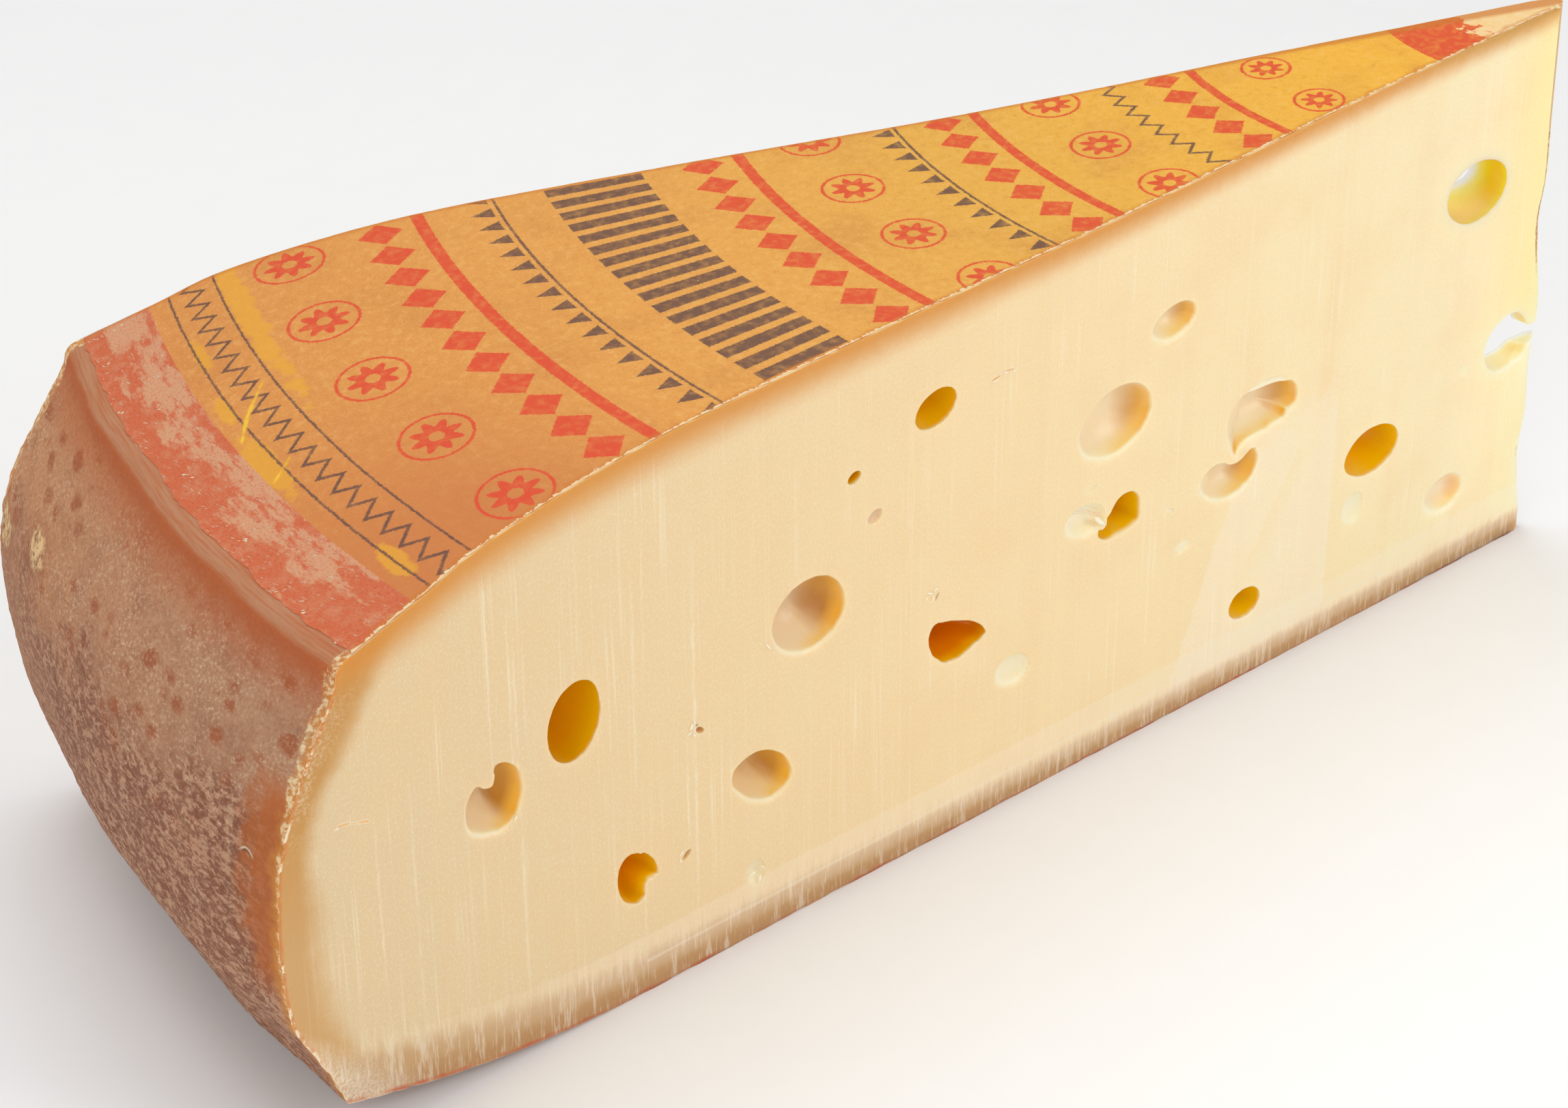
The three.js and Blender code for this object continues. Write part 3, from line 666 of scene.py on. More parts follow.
# Adds one node with its settings and links, and gives the output that is asked for. Inputs come in order,
# or by name in a dictionary. A kind in capitals is an operation of the Math node, and Mix blends colours.
def addNode(tree, kind, *inputs, out=0, stops=(), **settings):
    made = tree.nodes.new("ShaderNode" + ("Math" if kind.isupper() else kind))
    sockets = inputs[0] if inputs and isinstance(inputs[0], dict) else dict(enumerate(inputs))
    if kind.isupper():
        made.operation = kind
    if kind == "Mix":
        made.data_type = "RGBA"
        sockets, out = dict(zip(mixSockets, inputs)), mixOut
    for key, value in settings.items():
        setattr(made, key, value)
    for k, (at, code) in enumerate(stops):
        stop = made.color_ramp.elements[k] if k < 2 else made.color_ramp.elements.new(at)
        stop.position, stop.color = at, colour(code)
    for key, value in sockets.items():
        if isinstance(value, bpy.types.NodeSocket):
            tree.links.new(value, made.inputs[key])
        elif value is not None:
            made.inputs[key].default_value = colour(value) if isinstance(value, str) else value
    return made.outputs[out] if made.outputs else None


def newMaterial(name):
    material = bpy.data.materials.new(name)
    material.use_nodes = True
    material.node_tree.nodes.clear()
    return material, functools.partial(addNode, material.node_tree)


# noise whose largest grains are size mm wide, stretched and leant on a flat place
def grains(add, place, size, detail, roughness, stretch=(1, 1, 1), lean=0, shift=0):
    if lean:
        place = add("Mapping", place, None, (0, 0, math.radians(lean)))
    place = add("Mapping", place, (0, 0, shift), None, stretch)
    return add("TexNoise", place, None, 1 / size, detail, roughness)


# place on the wheel, in mm round its axis: radius, turn (radians, 0 in the middle), height and arc length
def wheelPlace(add):
    place = add("TexCoord", out=3)
    fromAxis = add("Mapping", place, (-wheel["axisX"] * mm, 0, 0), None, None)
    inMm = add("VectorMath", {0: fromAxis, 3: 1000}, operation="SCALE")
    flat = add("VectorMath", inMm, (1, 1, 0), operation="MULTIPLY")
    radius = add("VectorMath", flat, out=1, operation="LENGTH")
    x, y, height = (add("SeparateXYZ", inMm, out=k) for k in range(3))
    back = add("MULTIPLY", x, -1)
    turn = add("ARCTAN2", y, back)
    arc = add("MULTIPLY", turn, radius)
    return radius, turn, height, arc


paste = {
    "rimSide": "#e0c89e",       # towards the rim
    "middle": "#f3d9a9",
    "tipSide": "#fae6ba",
    "tipGlowPainted": "#fcdf96",       # painted light: the thin tip is painted paler, where light comes through it
    "blotch": "#eccb95",
    "streak": "#fff8e6",
    "smear": "#fbecd8",
    "rimBand": "#cb9549",
    "rimHaze": "#f4e6c8",
    "rimLine": "#c87226",
    "topBand": "#da9334",
    "footTan": "#c89f6c",
    "footBrown": "#bb8a56",
    "footEdge": "#c05a34",
    "footPale": "#f3e6cf",
    # the eyes' colours below are painted light and shade
    "lipPaintedHighlight": "#fff3d8",
    "eyeTanPaintedShade": "#e3b26a",
    "eyeFloorPaintedLight": "#fcd57c",
    "eyeAmberPaintedShade": "#bf7c30",
    "eyeTip": "#f7c040",
    "eyeGoldPaintedLight": "#ffd200",
    "eyeLitPainted": "#ffe52c",        # painted light, where light comes through the thin tip
    "eyeLitPaintedPale": "#ffe9a0",
    "eyeDeepGoldPaintedLight": "#ffbf04",
    "eyeDarkPaintedShade": "#ec8e00",
    "pock": "#c98a50",
    "crack": "#f0a830",
    "roughness": 0.42,
    "subsurfaceReach": 0.0024,
    "tipReach": 0.011,          # light crosses the thin tip
    # a film of paste smeared by the knife: radius and height of two places on each slanting edge, in mm
    "filmRim": ((146.5, 18), (122, 80)),
    "filmCrease": ((126, 29), (98.5, 73)),
    "filmTip": 87,
    # single drag lines: radius, lowest and highest place, half width and strength
    "drags": [(318.6, 8, 126, 0.7, 0.34), (321.2, 34, 74, 0.5, 0.31), (337, 58, 124, 0.5, 0.25),
              (333.6, 88, 138, 0.6, 0.19), (371.4, 8, 134, 0.6, 0.28), (372.8, 60, 140, 0.5, 0.25),
              (378.6, 90, 142, 0.5, 0.28), (286.2, 96, 138, 0.6, 0.19), (248.2, 80, 140, 0.9, 0.15),
              (335.4, 14, 36, 0.5, 0.28), (240.6, 44, 74, 0.6, 0.25), (171.6, 128, 156, 0.8, 0.25),
              (158.8, 44, 68, 0.5, 0.31), (160.6, 14, 78, 0.6, 0.22), (103.6, 18, 62, 0.4, 0.34),
              (107.6, 26, 42, 0.5, 0.28), (119.6, 56, 68, 0.6, 0.31), (68.4, 58, 84, 0.5, 0.25),
              (402, 20, 100, 0.6, 0.22), (412, 40, 90, 0.5, 0.25)],
    # short tears, each as radius and height of its two ends
    "tears": [((421.2, 90.6), (418.6, 90.4)), ((418.0, 90.0), (413.6, 88.6)),
              ((221.5, 131.2), (218.5, 131.5)), ((216.4, 132.2), (214.2, 131.8)),
              ((187.8, 79.2), (184.2, 78.1)), ((184.2, 78.1), (180.6, 76.2))],
    "score": ((60, 10.1), (335, 9.3)),      # a pale line along the foot
}


# what each point of the cheese carries for the paste
pasteFacts = ("rimDepth", "topDepth", "underDepth", "eyeDepth", "eyeTip", "eyeUp", "golden", "hollow",
              "pock")


# how near, in mm, a flat place comes to a line between two points
def lineGap(add, place, start, end):
    start, end = Vector((*start, 0)), Vector((*end, 0))
    step = end - start
    off = add("VectorMath", place, start, operation="SUBTRACT")
    share = add("VectorMath", off, step / step.length_squared, out=1, operation="DOT_PRODUCT")
    near = add("VectorMath", {0: step, 3: add("MapRange", share)}, operation="SCALE")
    return add("VectorMath", off, near, out=1, operation="DISTANCE")


# pressed, ripened cheese paste cut with a wire and a knife: fatty, translucent and satin, with fine upright
# drag lines;
# drier and browner towards the rind, paler towards the tip with painted light, golden in the eyes, where
# the tan and gold are painted light and shade
def pasteMaterial():
    material, add = newMaterial("pressedCheesePaste")
    radius, _, height, _ = wheelPlace(add)
    facts = [add("Attribute", out=2, attribute_name=name) for name in pasteFacts]
    rimDepth, topDepth, underDepth, eyeDepth, eyeTip, eyeUp, golden, hollow, pock = facts
    along = add("CombineXYZ", radius, height, 0.0)

    cloud = grains(add, along, 26, 3.0, 0.5)
    ragged = grains(add, along, 5, 4.0, 0.6)
    raggedMm = add("MapRange", ragged, 0.3, 0.7, -1.0)
    grain = grains(add, along, 0.9, 4.0, 0.7)

    # partly the paste's own tone, partly painted light: darker and greyer towards the rim, paler towards
    # the tip, where the light is brighter
    acrossRim = add("MapRange", radius, 430.0, 20.0)
    body = add("ValToRGB", acrossRim, stops=[(0, paste["rimSide"]), (1, paste["tipSide"]),
                                             (0.5, paste["middle"])])
    body = add("Mix", add("MapRange", cloud, 0.45, 0.75, 0.0, 0.3), body, paste["blotch"])
    wide = grains(add, along, 11, 3.0, 0.5, (1.0, 0.03, 1.0))
    body = add("Mix", add("MapRange", wide, 0.5, 0.75, 0.0, 0.22), body, paste["blotch"])

    # painted light: the thin tip is painted paler yellow high up, where light comes through it
    glow = add("MULTIPLY", add("MapRange", radius, 30.0, 8.0, 0.0, 0.6),
               add("MapRange", height, 60.0, 90.0))
    body = add("Mix", glow, body, paste["tipGlowPainted"])

    # a film smeared by the knife, between a slanting edge and an upright one, thinner behind its crease
    def fromEdge(edge, value):
        (lowR, lowZ), (highR, highZ) = edge
        lean = (lowR - highR) / (lowZ - highZ)
        way = add("MULTIPLY_ADD", height, -lean, value)
        return add("SUBTRACT", way, lowR - lean * lowZ)

    roughR = add("MULTIPLY_ADD", raggedMm, 0.9, radius)
    film = add("MULTIPLY", add("MapRange", fromEdge(paste["filmRim"], roughR), 0.6, -0.6),
               add("MapRange", add("MULTIPLY_ADD", raggedMm, 0.5, radius), paste["filmTip"] - 0.5,
                   paste["filmTip"] + 0.5))
    film = add("MULTIPLY", film, add("MapRange", add("MULTIPLY_ADD", raggedMm, 5.0, height), 86.0, 70.0))
    behind = fromEdge(paste["filmCrease"], roughR)
    crease = add("MULTIPLY", add("MapRange", behind, -9.0, -0.5), add("MapRange", behind, 0.5, -0.1))
    crease = add("MULTIPLY", crease, add("MapRange", add("ABSOLUTE", add("SUBTRACT", height, 51.0)),
                                         23.0, 12.0, 0.0, 0.75))
    filmShare = add("MULTIPLY", add("SUBTRACT", film, crease),
                    add("MapRange", cloud, 0.3, 0.7, 0.24, 0.44))
    body = add("Mix", filmShare, body, paste["smear"])

    # upright drag lines in groups, each about half a millimetre wide and several centimetres long
    drag = grains(add, along, 0.95, 2.0, 0.7, (1.0, 0.012, 1.0))
    dragPatch = add("MapRange", grains(add, along, 15, 3.0, 0.6, (1.0, 0.3, 1.0), shift=7.0), 0.48, 0.64)
    dragLine = add("MULTIPLY", add("MapRange", drag, 0.56, 0.7, 0.0, 0.34),
                   add("MULTIPLY_ADD", dragPatch, 0.8, 0.2))
    body = add("Mix", dragLine, body, paste["streak"])
    body = add("Mix", add("MULTIPLY", add("MapRange", drag, 0.44, 0.3, 0.0, 0.2), dragPatch), body,
               paste["blotch"])
    dragBreak = add("MapRange", grains(add, along, 6, 3.0, 0.7, (1.0, 0.6, 1.0), shift=15.0), 0.4, 0.6,
                    0.15)
    for at, low, high, half, share in paste["drags"]:
        gap = add("SUBTRACT", add("MULTIPLY_ADD", raggedMm, 0.25, radius), at)
        line = add("MapRange", add("ABSOLUTE", gap), half, half * 0.35, 0.0, share)
        over = add("ABSOLUTE", add("SUBTRACT", height, (low + high) / 2))
        line = add("MULTIPLY", line, add("MapRange", over, (high - low) / 2, (high - low) / 4))
        body = add("Mix", add("MULTIPLY", line, dragBreak), body, paste["streak"])
    # the paste's own fine grain, drawn at half a millimetre so that it shows
    curd = grains(add, along, 0.55, 2.0, 0.7, (1.0, 0.6, 1.0), shift=11.0)
    body = add("Mix", add("MapRange", curd, 0.5, 0.68, 0.0, 0.16), body, paste["blotch"])
    body = add("Mix", add("MapRange", curd, 0.5, 0.32, 0.0, 0.2), body, paste["streak"])

    scoreGap = add("MULTIPLY_ADD", raggedMm, 0.25, lineGap(add, along, *paste["score"]))
    scoreLine = add("MapRange", scoreGap, 0.7, 0.2, 0.0, 0.4)

    # the band along the rim is ochre and glassy, its upper part dusted with dry crumbs
    bandReach = add("MapRange", grains(add, along, 40, 1.0, 0.5), 0.35, 0.65, 0.85, 1.25)
    rimShare = add("DIVIDE", add("MULTIPLY_ADD", raggedMm, 0.7, rimDepth), bandReach)
    band = add("MapRange", rimShare, 13.0, 5.0, **eased)
    band = add("MULTIPLY", band, add("MapRange", height, 60.0, 95.0, 0.7, 0.95))
    body = add("Mix", band, body, paste["rimBand"])
    upper = add("MapRange", height, 86.0, 100.0)
    dust = add("MapRange", grain, 0.46, 0.6, 0.0, 0.45)
    dustPatch = add("MapRange", grains(add, along, 9, 3.0, 0.65, shift=3.0), 0.42, 0.56)
    dustReach = add("MapRange", rimDepth, 9.0, 1.5)
    body = add("Mix", add("MULTIPLY", add("MULTIPLY", dust, dustPatch),
                          add("MULTIPLY", dustReach, upper)), body, paste["rimHaze"])
    corner = add("ADD", underDepth, add("ABSOLUTE", rimDepth))
    dryCorner = add("MULTIPLY", add("MapRange", corner, 26.0, 10.0, 0.0, 0.75),
                    add("MapRange", grain, 0.4, 0.62, 0.35))
    rimEdge = add("MULTIPLY_ADD", raggedMm, 0.45, rimDepth)
    body = add("Mix", add("MapRange", rimEdge, 1.5, 0.5, 0.0, 0.7), body, paste["rimLine"])
    crumbPatch = add("MapRange", grains(add, along, 4, 4.0, 0.7, shift=5.0), 0.5, 0.6, 0.0, 0.85)
    crumb = add("MULTIPLY", add("MapRange", add("MULTIPLY_ADD", raggedMm, 0.6, rimDepth), 1.3, 0.7),
                crumbPatch)
    body = add("Mix", crumb, body, paste["rimHaze"])

    # orange under the paper, thinner towards the tip
    topReach = add("MapRange", radius, 60.0, 400.0, 2.8, 4.8)
    topRatio = add("DIVIDE", add("MULTIPLY_ADD", raggedMm, 0.4, topDepth), topReach)
    top = add("MapRange", topRatio, 2.8, 0.1, 0.0, 0.94, **eased)
    body = add("Mix", top, body, paste["topBand"])

    # the dried foot: upright pale streaks over tan and grey brown, with an orange crumbly edge
    footReach = add("MapRange", radius, 200.0, 400.0, 0.62, 1.08)
    foot = add("DIVIDE", add("MULTIPLY_ADD", raggedMm, 0.5, underDepth), footReach)
    streak = grains(add, along, 1.3, 3.0, 0.75, (1.0, 0.09, 1.0), shift=2.0)
    body = add("Mix", add("MapRange", foot, 15.0, 8.5, 0.0, 0.92, **eased), body, paste["footTan"])
    body = add("Mix", add("MapRange", foot, 8.0, 2.0, 0.0, 0.85, **eased), body, paste["footBrown"])
    pale = add("MULTIPLY", add("MapRange", streak, 0.5, 0.64, 0.0, 0.48),
               add("MapRange", foot, 20.0, 12.0))
    body = add("Mix", add("MULTIPLY", add("MapRange", streak, 0.5, 0.36, 0.0, 0.34),
                          add("MapRange", foot, 19.0, 11.0)), body, paste["footTan"])
    body = add("Mix", pale, body, paste["footPale"])
    body = add("Mix", dryCorner, body, paste["footPale"])
    filmTop = add("MULTIPLY_ADD", raggedMm, 0.4, underDepth)
    footFilm = add("MULTIPLY", add("MapRange", filmTop, 17.6, 16.7, 0.0, 0.24),
                   add("MapRange", radius, 420.0, 340.0))
    body = add("Mix", add("MULTIPLY", footFilm, add("MapRange", foot, 5.0, 9.0)), body, paste["smear"])
    body = add("Mix", scoreLine, body, paste["footPale"])
    edgePatch = add("MapRange", grains(add, along, 14, 3.0, 0.6, shift=9.0), 0.42, 0.58, 0.25)
    body = add("Mix", add("MULTIPLY", add("MapRange", foot, 1.5, 0.6, 0.0, 0.85), edgePatch), body,
               paste["footEdge"])

    # tears, each with a pale raised lip, and the crack painted golden, the same painted light as in the
    # eyes
    tearGap = 9.0
    for start, end in paste["tears"]:
        gap = add("MULTIPLY_ADD", raggedMm, 0.25, lineGap(add, along, start, end))
        tearGap = add("MINIMUM", tearGap, gap)
    lip = add("MapRange", tearGap, 0.75, 0.4)
    crack = add("MapRange", tearGap, 0.34, 0.18)
    body = add("Mix", add("MULTIPLY", lip, 0.4), body, paste["streak"])
    # painted light: the crack is drawn golden
    body = add("Mix", add("MULTIPLY", crack, 0.6), body, paste["crack"])

    # eyes, painted light and shade: the walls are painted tan, then amber with depth, for the shade in
    # them, and golden nearest the tip for light come through the paste; the lip is painted pale as a
    # highlight, the floor of a shallow eye too, and a deep eye is painted golden all round
    # painted highlight: the lip is drawn pale
    lipHighlightShare = add("MapRange", hollow, 0.0, 1.0, 0.7, 0.8)
    inside = add("Mix", add("MULTIPLY", lipHighlightShare, add("MapRange", eyeDepth, 0.05, 0.8)), body,
                 paste["lipPaintedHighlight"])
    # shreds
    inside = add("Mix", add("MapRange", eyeDepth, -0.08, -0.3, 0.0, 0.6), inside, paste["streak"])
    # painted shade: the walls are drawn tan with depth, most on the wall nearest the tip
    fromRim = add("MapRange", eyeTip, 0.25, 0.75, 0.2)
    fromBelow = add("MapRange", eyeUp, -0.95, -0.5, 0.5)
    bowl = add("MULTIPLY", fromRim, fromBelow)
    tan = add("MULTIPLY", bowl, add("MULTIPLY", add("MapRange", hollow, 0.0, 1.0, 0.25),
                                    add("MapRange", eyeDepth, 0.7, 3.2)))
    inside = add("Mix", tan, inside, paste["eyeTanPaintedShade"])
    # painted light: the floor of a shallow eye, which faces up, is drawn pale yellow
    floor = add("MULTIPLY", add("MapRange", eyeUp, -0.1, -0.6, 0.0, 0.85),
                add("MapRange", eyeDepth, 5.5, 2.5, 0.1))
    floor = add("MULTIPLY", floor, add("MULTIPLY", add("MapRange", eyeDepth, 0.6, 1.6),
                                       add("MapRange", eyeTip, -0.3, 0.25, 0.15)))
    inside = add("Mix", add("MULTIPLY", floor, add("MapRange", hollow, 0.0, 1.0, 0.3)), inside,
                 paste["eyeFloorPaintedLight"])
    # painted shade: amber deepens with depth and in the thicker part of the wedge
    amber = add("MULTIPLY", add("MapRange", radius, 160.0, 260.0, 0.3, 0.85),
                add("MapRange", eyeDepth, 1.5, 5.5))
    amber = add("MULTIPLY", amber, add("MapRange", eyeUp, -0.4, 0.15, 1.0, 0.45))
    inside = add("Mix", add("MULTIPLY", bowl, amber), inside, paste["eyeAmberPaintedShade"])
    # painted light: golden on the wall nearest the tip
    tipwards = add("MULTIPLY", add("MapRange", eyeTip, 0.4, 0.85), add("MapRange", eyeDepth, 0.2, 1.4))
    tipwards = add("MULTIPLY", add("MULTIPLY", tipwards, add("MapRange", eyeDepth, 2.6, 6.0, 1.0, 0.2)),
                   add("MapRange", eyeUp, 0.1, -0.5, 0.7))
    inside = add("Mix", add("MULTIPLY", tipwards, add("MapRange", hollow, 0.0, 1.0, 0.3)), inside,
                 paste["eyeTip"])
    # painted light: a deep eye is drawn golden all round
    gold = add("MULTIPLY", golden, add("MapRange", eyeTip, -0.4, 0.2, 0.72))
    inside = add("Mix", add("MULTIPLY", gold, add("MapRange", eyeDepth, 0.3, 2.0)), inside,
                 paste["eyeGoldPaintedLight"])
    inside = add("Mix", add("MULTIPLY", gold, add("MapRange", eyeDepth, 3.0, 10.0, 0.0, 0.9)), inside,
                 paste["eyeDeepGoldPaintedLight"])
    # painted light: eyes at the thin tip are drawn bright yellow
    lit = add("MULTIPLY", add("MULTIPLY", golden, add("MapRange", radius, 62.0, 44.0)),
              add("MapRange", eyeDepth, 0.3, 2.0))
    inside = add("Mix", lit, inside, add("Mix", add("MapRange", eyeTip, 0.4, 0.8), paste["eyeLitPaintedPale"],
                                         paste["eyeLitPainted"]))
    # painted shade: the most golden eyes are drawn darker with depth
    inside = add("Mix", add("MULTIPLY", add("MapRange", golden, 1.0, 1.6),
                            add("MapRange", eyeDepth, 1.0, 5.0, 0.0, 0.8)), inside, paste["eyeDarkPaintedShade"])
    # painted shade: small pocks are drawn brown inside
    inside = add("Mix", add("MULTIPLY", pock, add("MapRange", eyeDepth, 0.15, 0.8)), inside,
                 paste["pock"])

    relief = add("Bump", {0: 0.25, 1: 0.0004, "Height": drag})
    dry = add("MAXIMUM", add("MULTIPLY", dustReach, upper), add("MapRange", foot, 12.0, 4.0, 0.0, 0.8))
    relief = add("Bump", {0: add("MULTIPLY_ADD", dry, 0.6, 0.2), 1: 0.0004, "Height": grain,
                          "Normal": relief})
    relief = add("Bump", {0: 0.4, 1: 0.0004, "Height": add("SUBTRACT", lip, crack), "Normal": relief})
    wet = add("MapRange", eyeDepth, 0.5, 4.0, paste["roughness"], 0.3)
    reach = add("MapRange", radius, 70.0, 25.0, paste["subsurfaceReach"], paste["tipReach"])
    shader = add("BsdfPrincipled", {"Base Color": inside, "Roughness": wet, "Normal": relief, "IOR": 1.45,
                                    "Subsurface Weight": 1.0, "Subsurface Radius": (1.0, 0.9, 0.72),
                                    "Subsurface Scale": reach})
    add("OutputMaterial", shader)
    return material


rind = {
    "upperNear": "#b28566",
    "upperFar": "#bf865d",
    "lower": "#95654c",
    "ridge": "#b98664",
    "groove": "#b25828",
    "bloom": "#dcc0a2",
    "pore": "#84503a",
    "spot": "#9e5836",
    "flake": "#cfa383",
    "bare": "#7a4735",
    "moist": "#cf8a3e",
    "rust": "#b4622e",
    "crumb": "#f2e0b6",
    "scar": "#e6c08c",
    "roughness": 0.78,
    "specular": 0.2,
    # crumbly scars: arc from the middle, mm under the paper's edge, half width and half height
    "scars": [(49, 42, 7.5, 5.2), (83, 53, 9.5, 5.4)],
    "blister": (-78, 55.5, 2.6),        # a lifted flake with a painted shadow under it: arc, mm under the paper's edge, radius
}


# dried natural rind, brushed and washed while it ripened: matt and brown pink with a fine pale bloom,
# rusty spots, an orange groove under the paper that is partly its stain and partly painted shade, and dry
# pale flakes over its lower half
def rindMaterial():
    material, add = newMaterial("driedBrushedRind")
    radius, _, height, arc = wheelPlace(add)
    below = add("Attribute", out=2, attribute_name="belowPaper")
    skin = add("CombineXYZ", arc, below, 0.0)

    cloud = grains(add, skin, 30, 3.0, 0.55)
    ragged = add("MapRange", grains(add, skin, 6, 4.0, 0.65, shift=2.0), 0.3, 0.7, -1.0)
    # threads of half a millimetre
    grain = grains(add, skin, 1.1, 4.0, 0.72, (1.0, 1.25, 1.0), shift=4.0)
    level = add("ADD", add("MapRange", cloud, 0.2, 0.8, -24.0, 24.0), below)

    body = add("Mix", add("MapRange", arc, -60.0, 80.0), rind["upperNear"], rind["upperFar"])
    body = add("Mix", add("MULTIPLY", add("MapRange", level, 30.0, 66.0, 0.0, 0.9, **eased),
                          add("MapRange", arc, 25.0, 75.0, 1.0, 0.5)), body, rind["lower"])
    body = add("Mix", add("MapRange", grains(add, skin, 9, 3.0, 0.6, (0.7, 1.0, 1.0), shift=6.0), 0.5,
                          0.72, 0.0, 0.35), body, rind["pore"])

    # rusty spots three to five millimetres wide, not at every place
    spotPlace = add("Mapping", skin, None, None, (0.8, 1.1, 1.0))
    spotWay = add("TexVoronoi", {0: spotPlace, 2: 1 / 6.5, 8: 1.0}, out=0)
    spotPick = add("SeparateColor", add("TexVoronoi", {0: spotPlace, 2: 1 / 6.5, 8: 1.0}, out=1), out=0)
    spotWay = add("MULTIPLY_ADD", ragged, 0.15, spotWay)
    spotSize = add("MapRange", spotPick, 0.2, 1.0, 0.0, 0.42)
    spot = add("MapRange", add("SUBTRACT", spotWay, spotSize), 0.15, -0.12, 0.0, 0.85)
    spot = add("MULTIPLY", add("MULTIPLY", spot, add("MapRange", below, 8.0, 14.0, **eased)),
               add("MapRange", below, 70.0, 50.0, 0.25))
    body = add("Mix", spot, body, rind["spot"])

    # fine pale bloom, thicker in patches, with darker pores between
    bloomPatch = add("MapRange", grains(add, skin, 13, 4.0, 0.6, shift=8.0), 0.38, 0.62, 0.3)
    body = add("Mix", add("MULTIPLY", add("MapRange", grain, 0.52, 0.64, 0.0, 0.6), bloomPatch), body,
               rind["bloom"])
    body = add("Mix", add("MapRange", grain, 0.46, 0.34, 0.0, 0.4), body, rind["pore"])

    # over the lower half the bloom has dried to flakes, lying along the rim on a bare brown skin
    flakeGrain = grains(add, skin, 1.7, 5.0, 0.72, (0.6, 1.0, 1.0), shift=1.0)
    flakeZone = add("MULTIPLY", add("MapRange", add("MULTIPLY_ADD", ragged, 5.0, level), 38.0, 56.0,
                                    **eased), add("MapRange", add("MULTIPLY_ADD", cloud, 60.0, arc),
                                                  110.0, 40.0, 0.35))
    body = add("Mix", add("MULTIPLY", add("MapRange", flakeGrain, 0.52, 0.42, 0.0, 0.6), flakeZone),
               body, rind["bare"])
    body = add("Mix", add("MULTIPLY", add("MapRange", flakeGrain, 0.5, 0.58, 0.0, 0.6), flakeZone), body,
               rind["flake"])

    # the orange groove, partly the rind's own orange stain and partly painted shade under the ridge, and
    # the smooth pale ridge between it and the paper
    groovePlace = add("MULTIPLY_ADD", ragged, 1.3, below)
    body = add("Mix", add("MapRange", groovePlace, 24.0, 8.0, 0.0, 0.62, **eased), body, rind["groove"])
    # painted shade: a stronger band right under the ridge
    body = add("Mix", add("MapRange", groovePlace, 12.5, 6.0, 0.0, 0.7, **eased), body, rind["groove"])
    ridgeLine = add("MapRange", grains(add, skin, 0.8, 3.0, 0.6, (0.05, 1.0, 1.0), shift=3.0), 0.4, 0.66,
                    0.0, 0.6)
    body = add("Mix", add("MapRange", below, 6.0, 4.0, 0.0, 0.9, **eased), body,
               add("Mix", ridgeLine, rind["ridge"], rind["groove"]))

    # towards the cuts the rind is moist and orange, rusty over the middle, and it breaks into pale crumbs
    half = add("MULTIPLY", radius, halfAngle)
    fromNear = add("ADD", half, arc)
    fromCut = add("SUBTRACT", half, add("ABSOLUTE", arc))
    rustWay = add("MULTIPLY_ADD", ragged, 4.5, fromNear)
    rust = add("MULTIPLY", add("MapRange", rustWay, 18.0, 7.0, 0.0, 0.85, **eased),
               add("MULTIPLY", add("MapRange", below, 30.0, 40.0, **eased),
                   add("MapRange", below, 96.0, 80.0, **eased)))
    body = add("Mix", rust, body, rind["rust"])
    moist = add("MapRange", add("MULTIPLY_ADD", ragged, 2.2, fromCut), 4.5, 0.0, 0.0, 0.8, **eased)
    body = add("Mix", moist, body, rind["moist"])
    crumbGrain = add("MapRange", grains(add, skin, 1.5, 4.0, 0.7, shift=5.0), 0.46, 0.6, 0.0, 0.7)
    crumbReach = add("MapRange", height, 84.0, 108.0, 0.6, 3.2)
    crumb = add("MapRange", add("SUBTRACT", add("MULTIPLY_ADD", ragged, 1.5, fromCut), crumbReach), 0.4,
                -0.4)
    body = add("Mix", add("MULTIPLY", crumb, crumbGrain), body, rind["crumb"])

    # scars, each a dark rim round upright pale crumbs
    scarGrain = grains(add, skin, 1.8, 4.0, 0.75, (0.9, 0.8, 1.0), shift=12.0)
    scarHeight = 0.0
    for at, down, halfWide, halfTall in rind["scars"]:
        way = add("VectorMath", add("Mapping", skin, (-at / halfWide, -down / halfTall, 0), None,
                                    (1 / halfWide, 1 / halfTall, 1.0)), out=1, operation="LENGTH")
        way = add("MULTIPLY_ADD", ragged, 0.34, way)
        body = add("Mix", add("MapRange", way, 1.7, 0.7, 0.0, 0.6), body, rind["spot"])
        inScar = add("MULTIPLY", add("MapRange", way, 1.05, 0.7, 0.0, 0.95),
                     add("MapRange", scarGrain, 0.4, 0.52))
        body = add("Mix", inScar, body, rind["scar"])
        scarHeight = add("MAXIMUM", scarHeight, inScar)
    at, down, reach = rind["blister"]
    off = add("VectorMath", skin, (at, down + reach * 0.6, 0), operation="SUBTRACT")
    ring = add("SUBTRACT", add("VectorMath", off, out=1, operation="LENGTH"), reach)
    upperHalf = add("MapRange", add("SeparateXYZ", off, out=1), -reach * 0.3, -reach * 0.7)
    lifted = add("MULTIPLY", add("MapRange", add("ABSOLUTE", ring), 0.45, 0.2, 0.0, 0.9), upperHalf)
    # painted shadow under the lifted flake, in the bare skin's brown
    shadow = add("MULTIPLY", add("MapRange", add("ABSOLUTE", add("ADD", ring, 0.6)), 0.4, 0.1, 0.0, 0.8),
                 upperHalf)
    body = add("Mix", shadow, add("Mix", lifted, body, rind["bloom"]), rind["bare"])

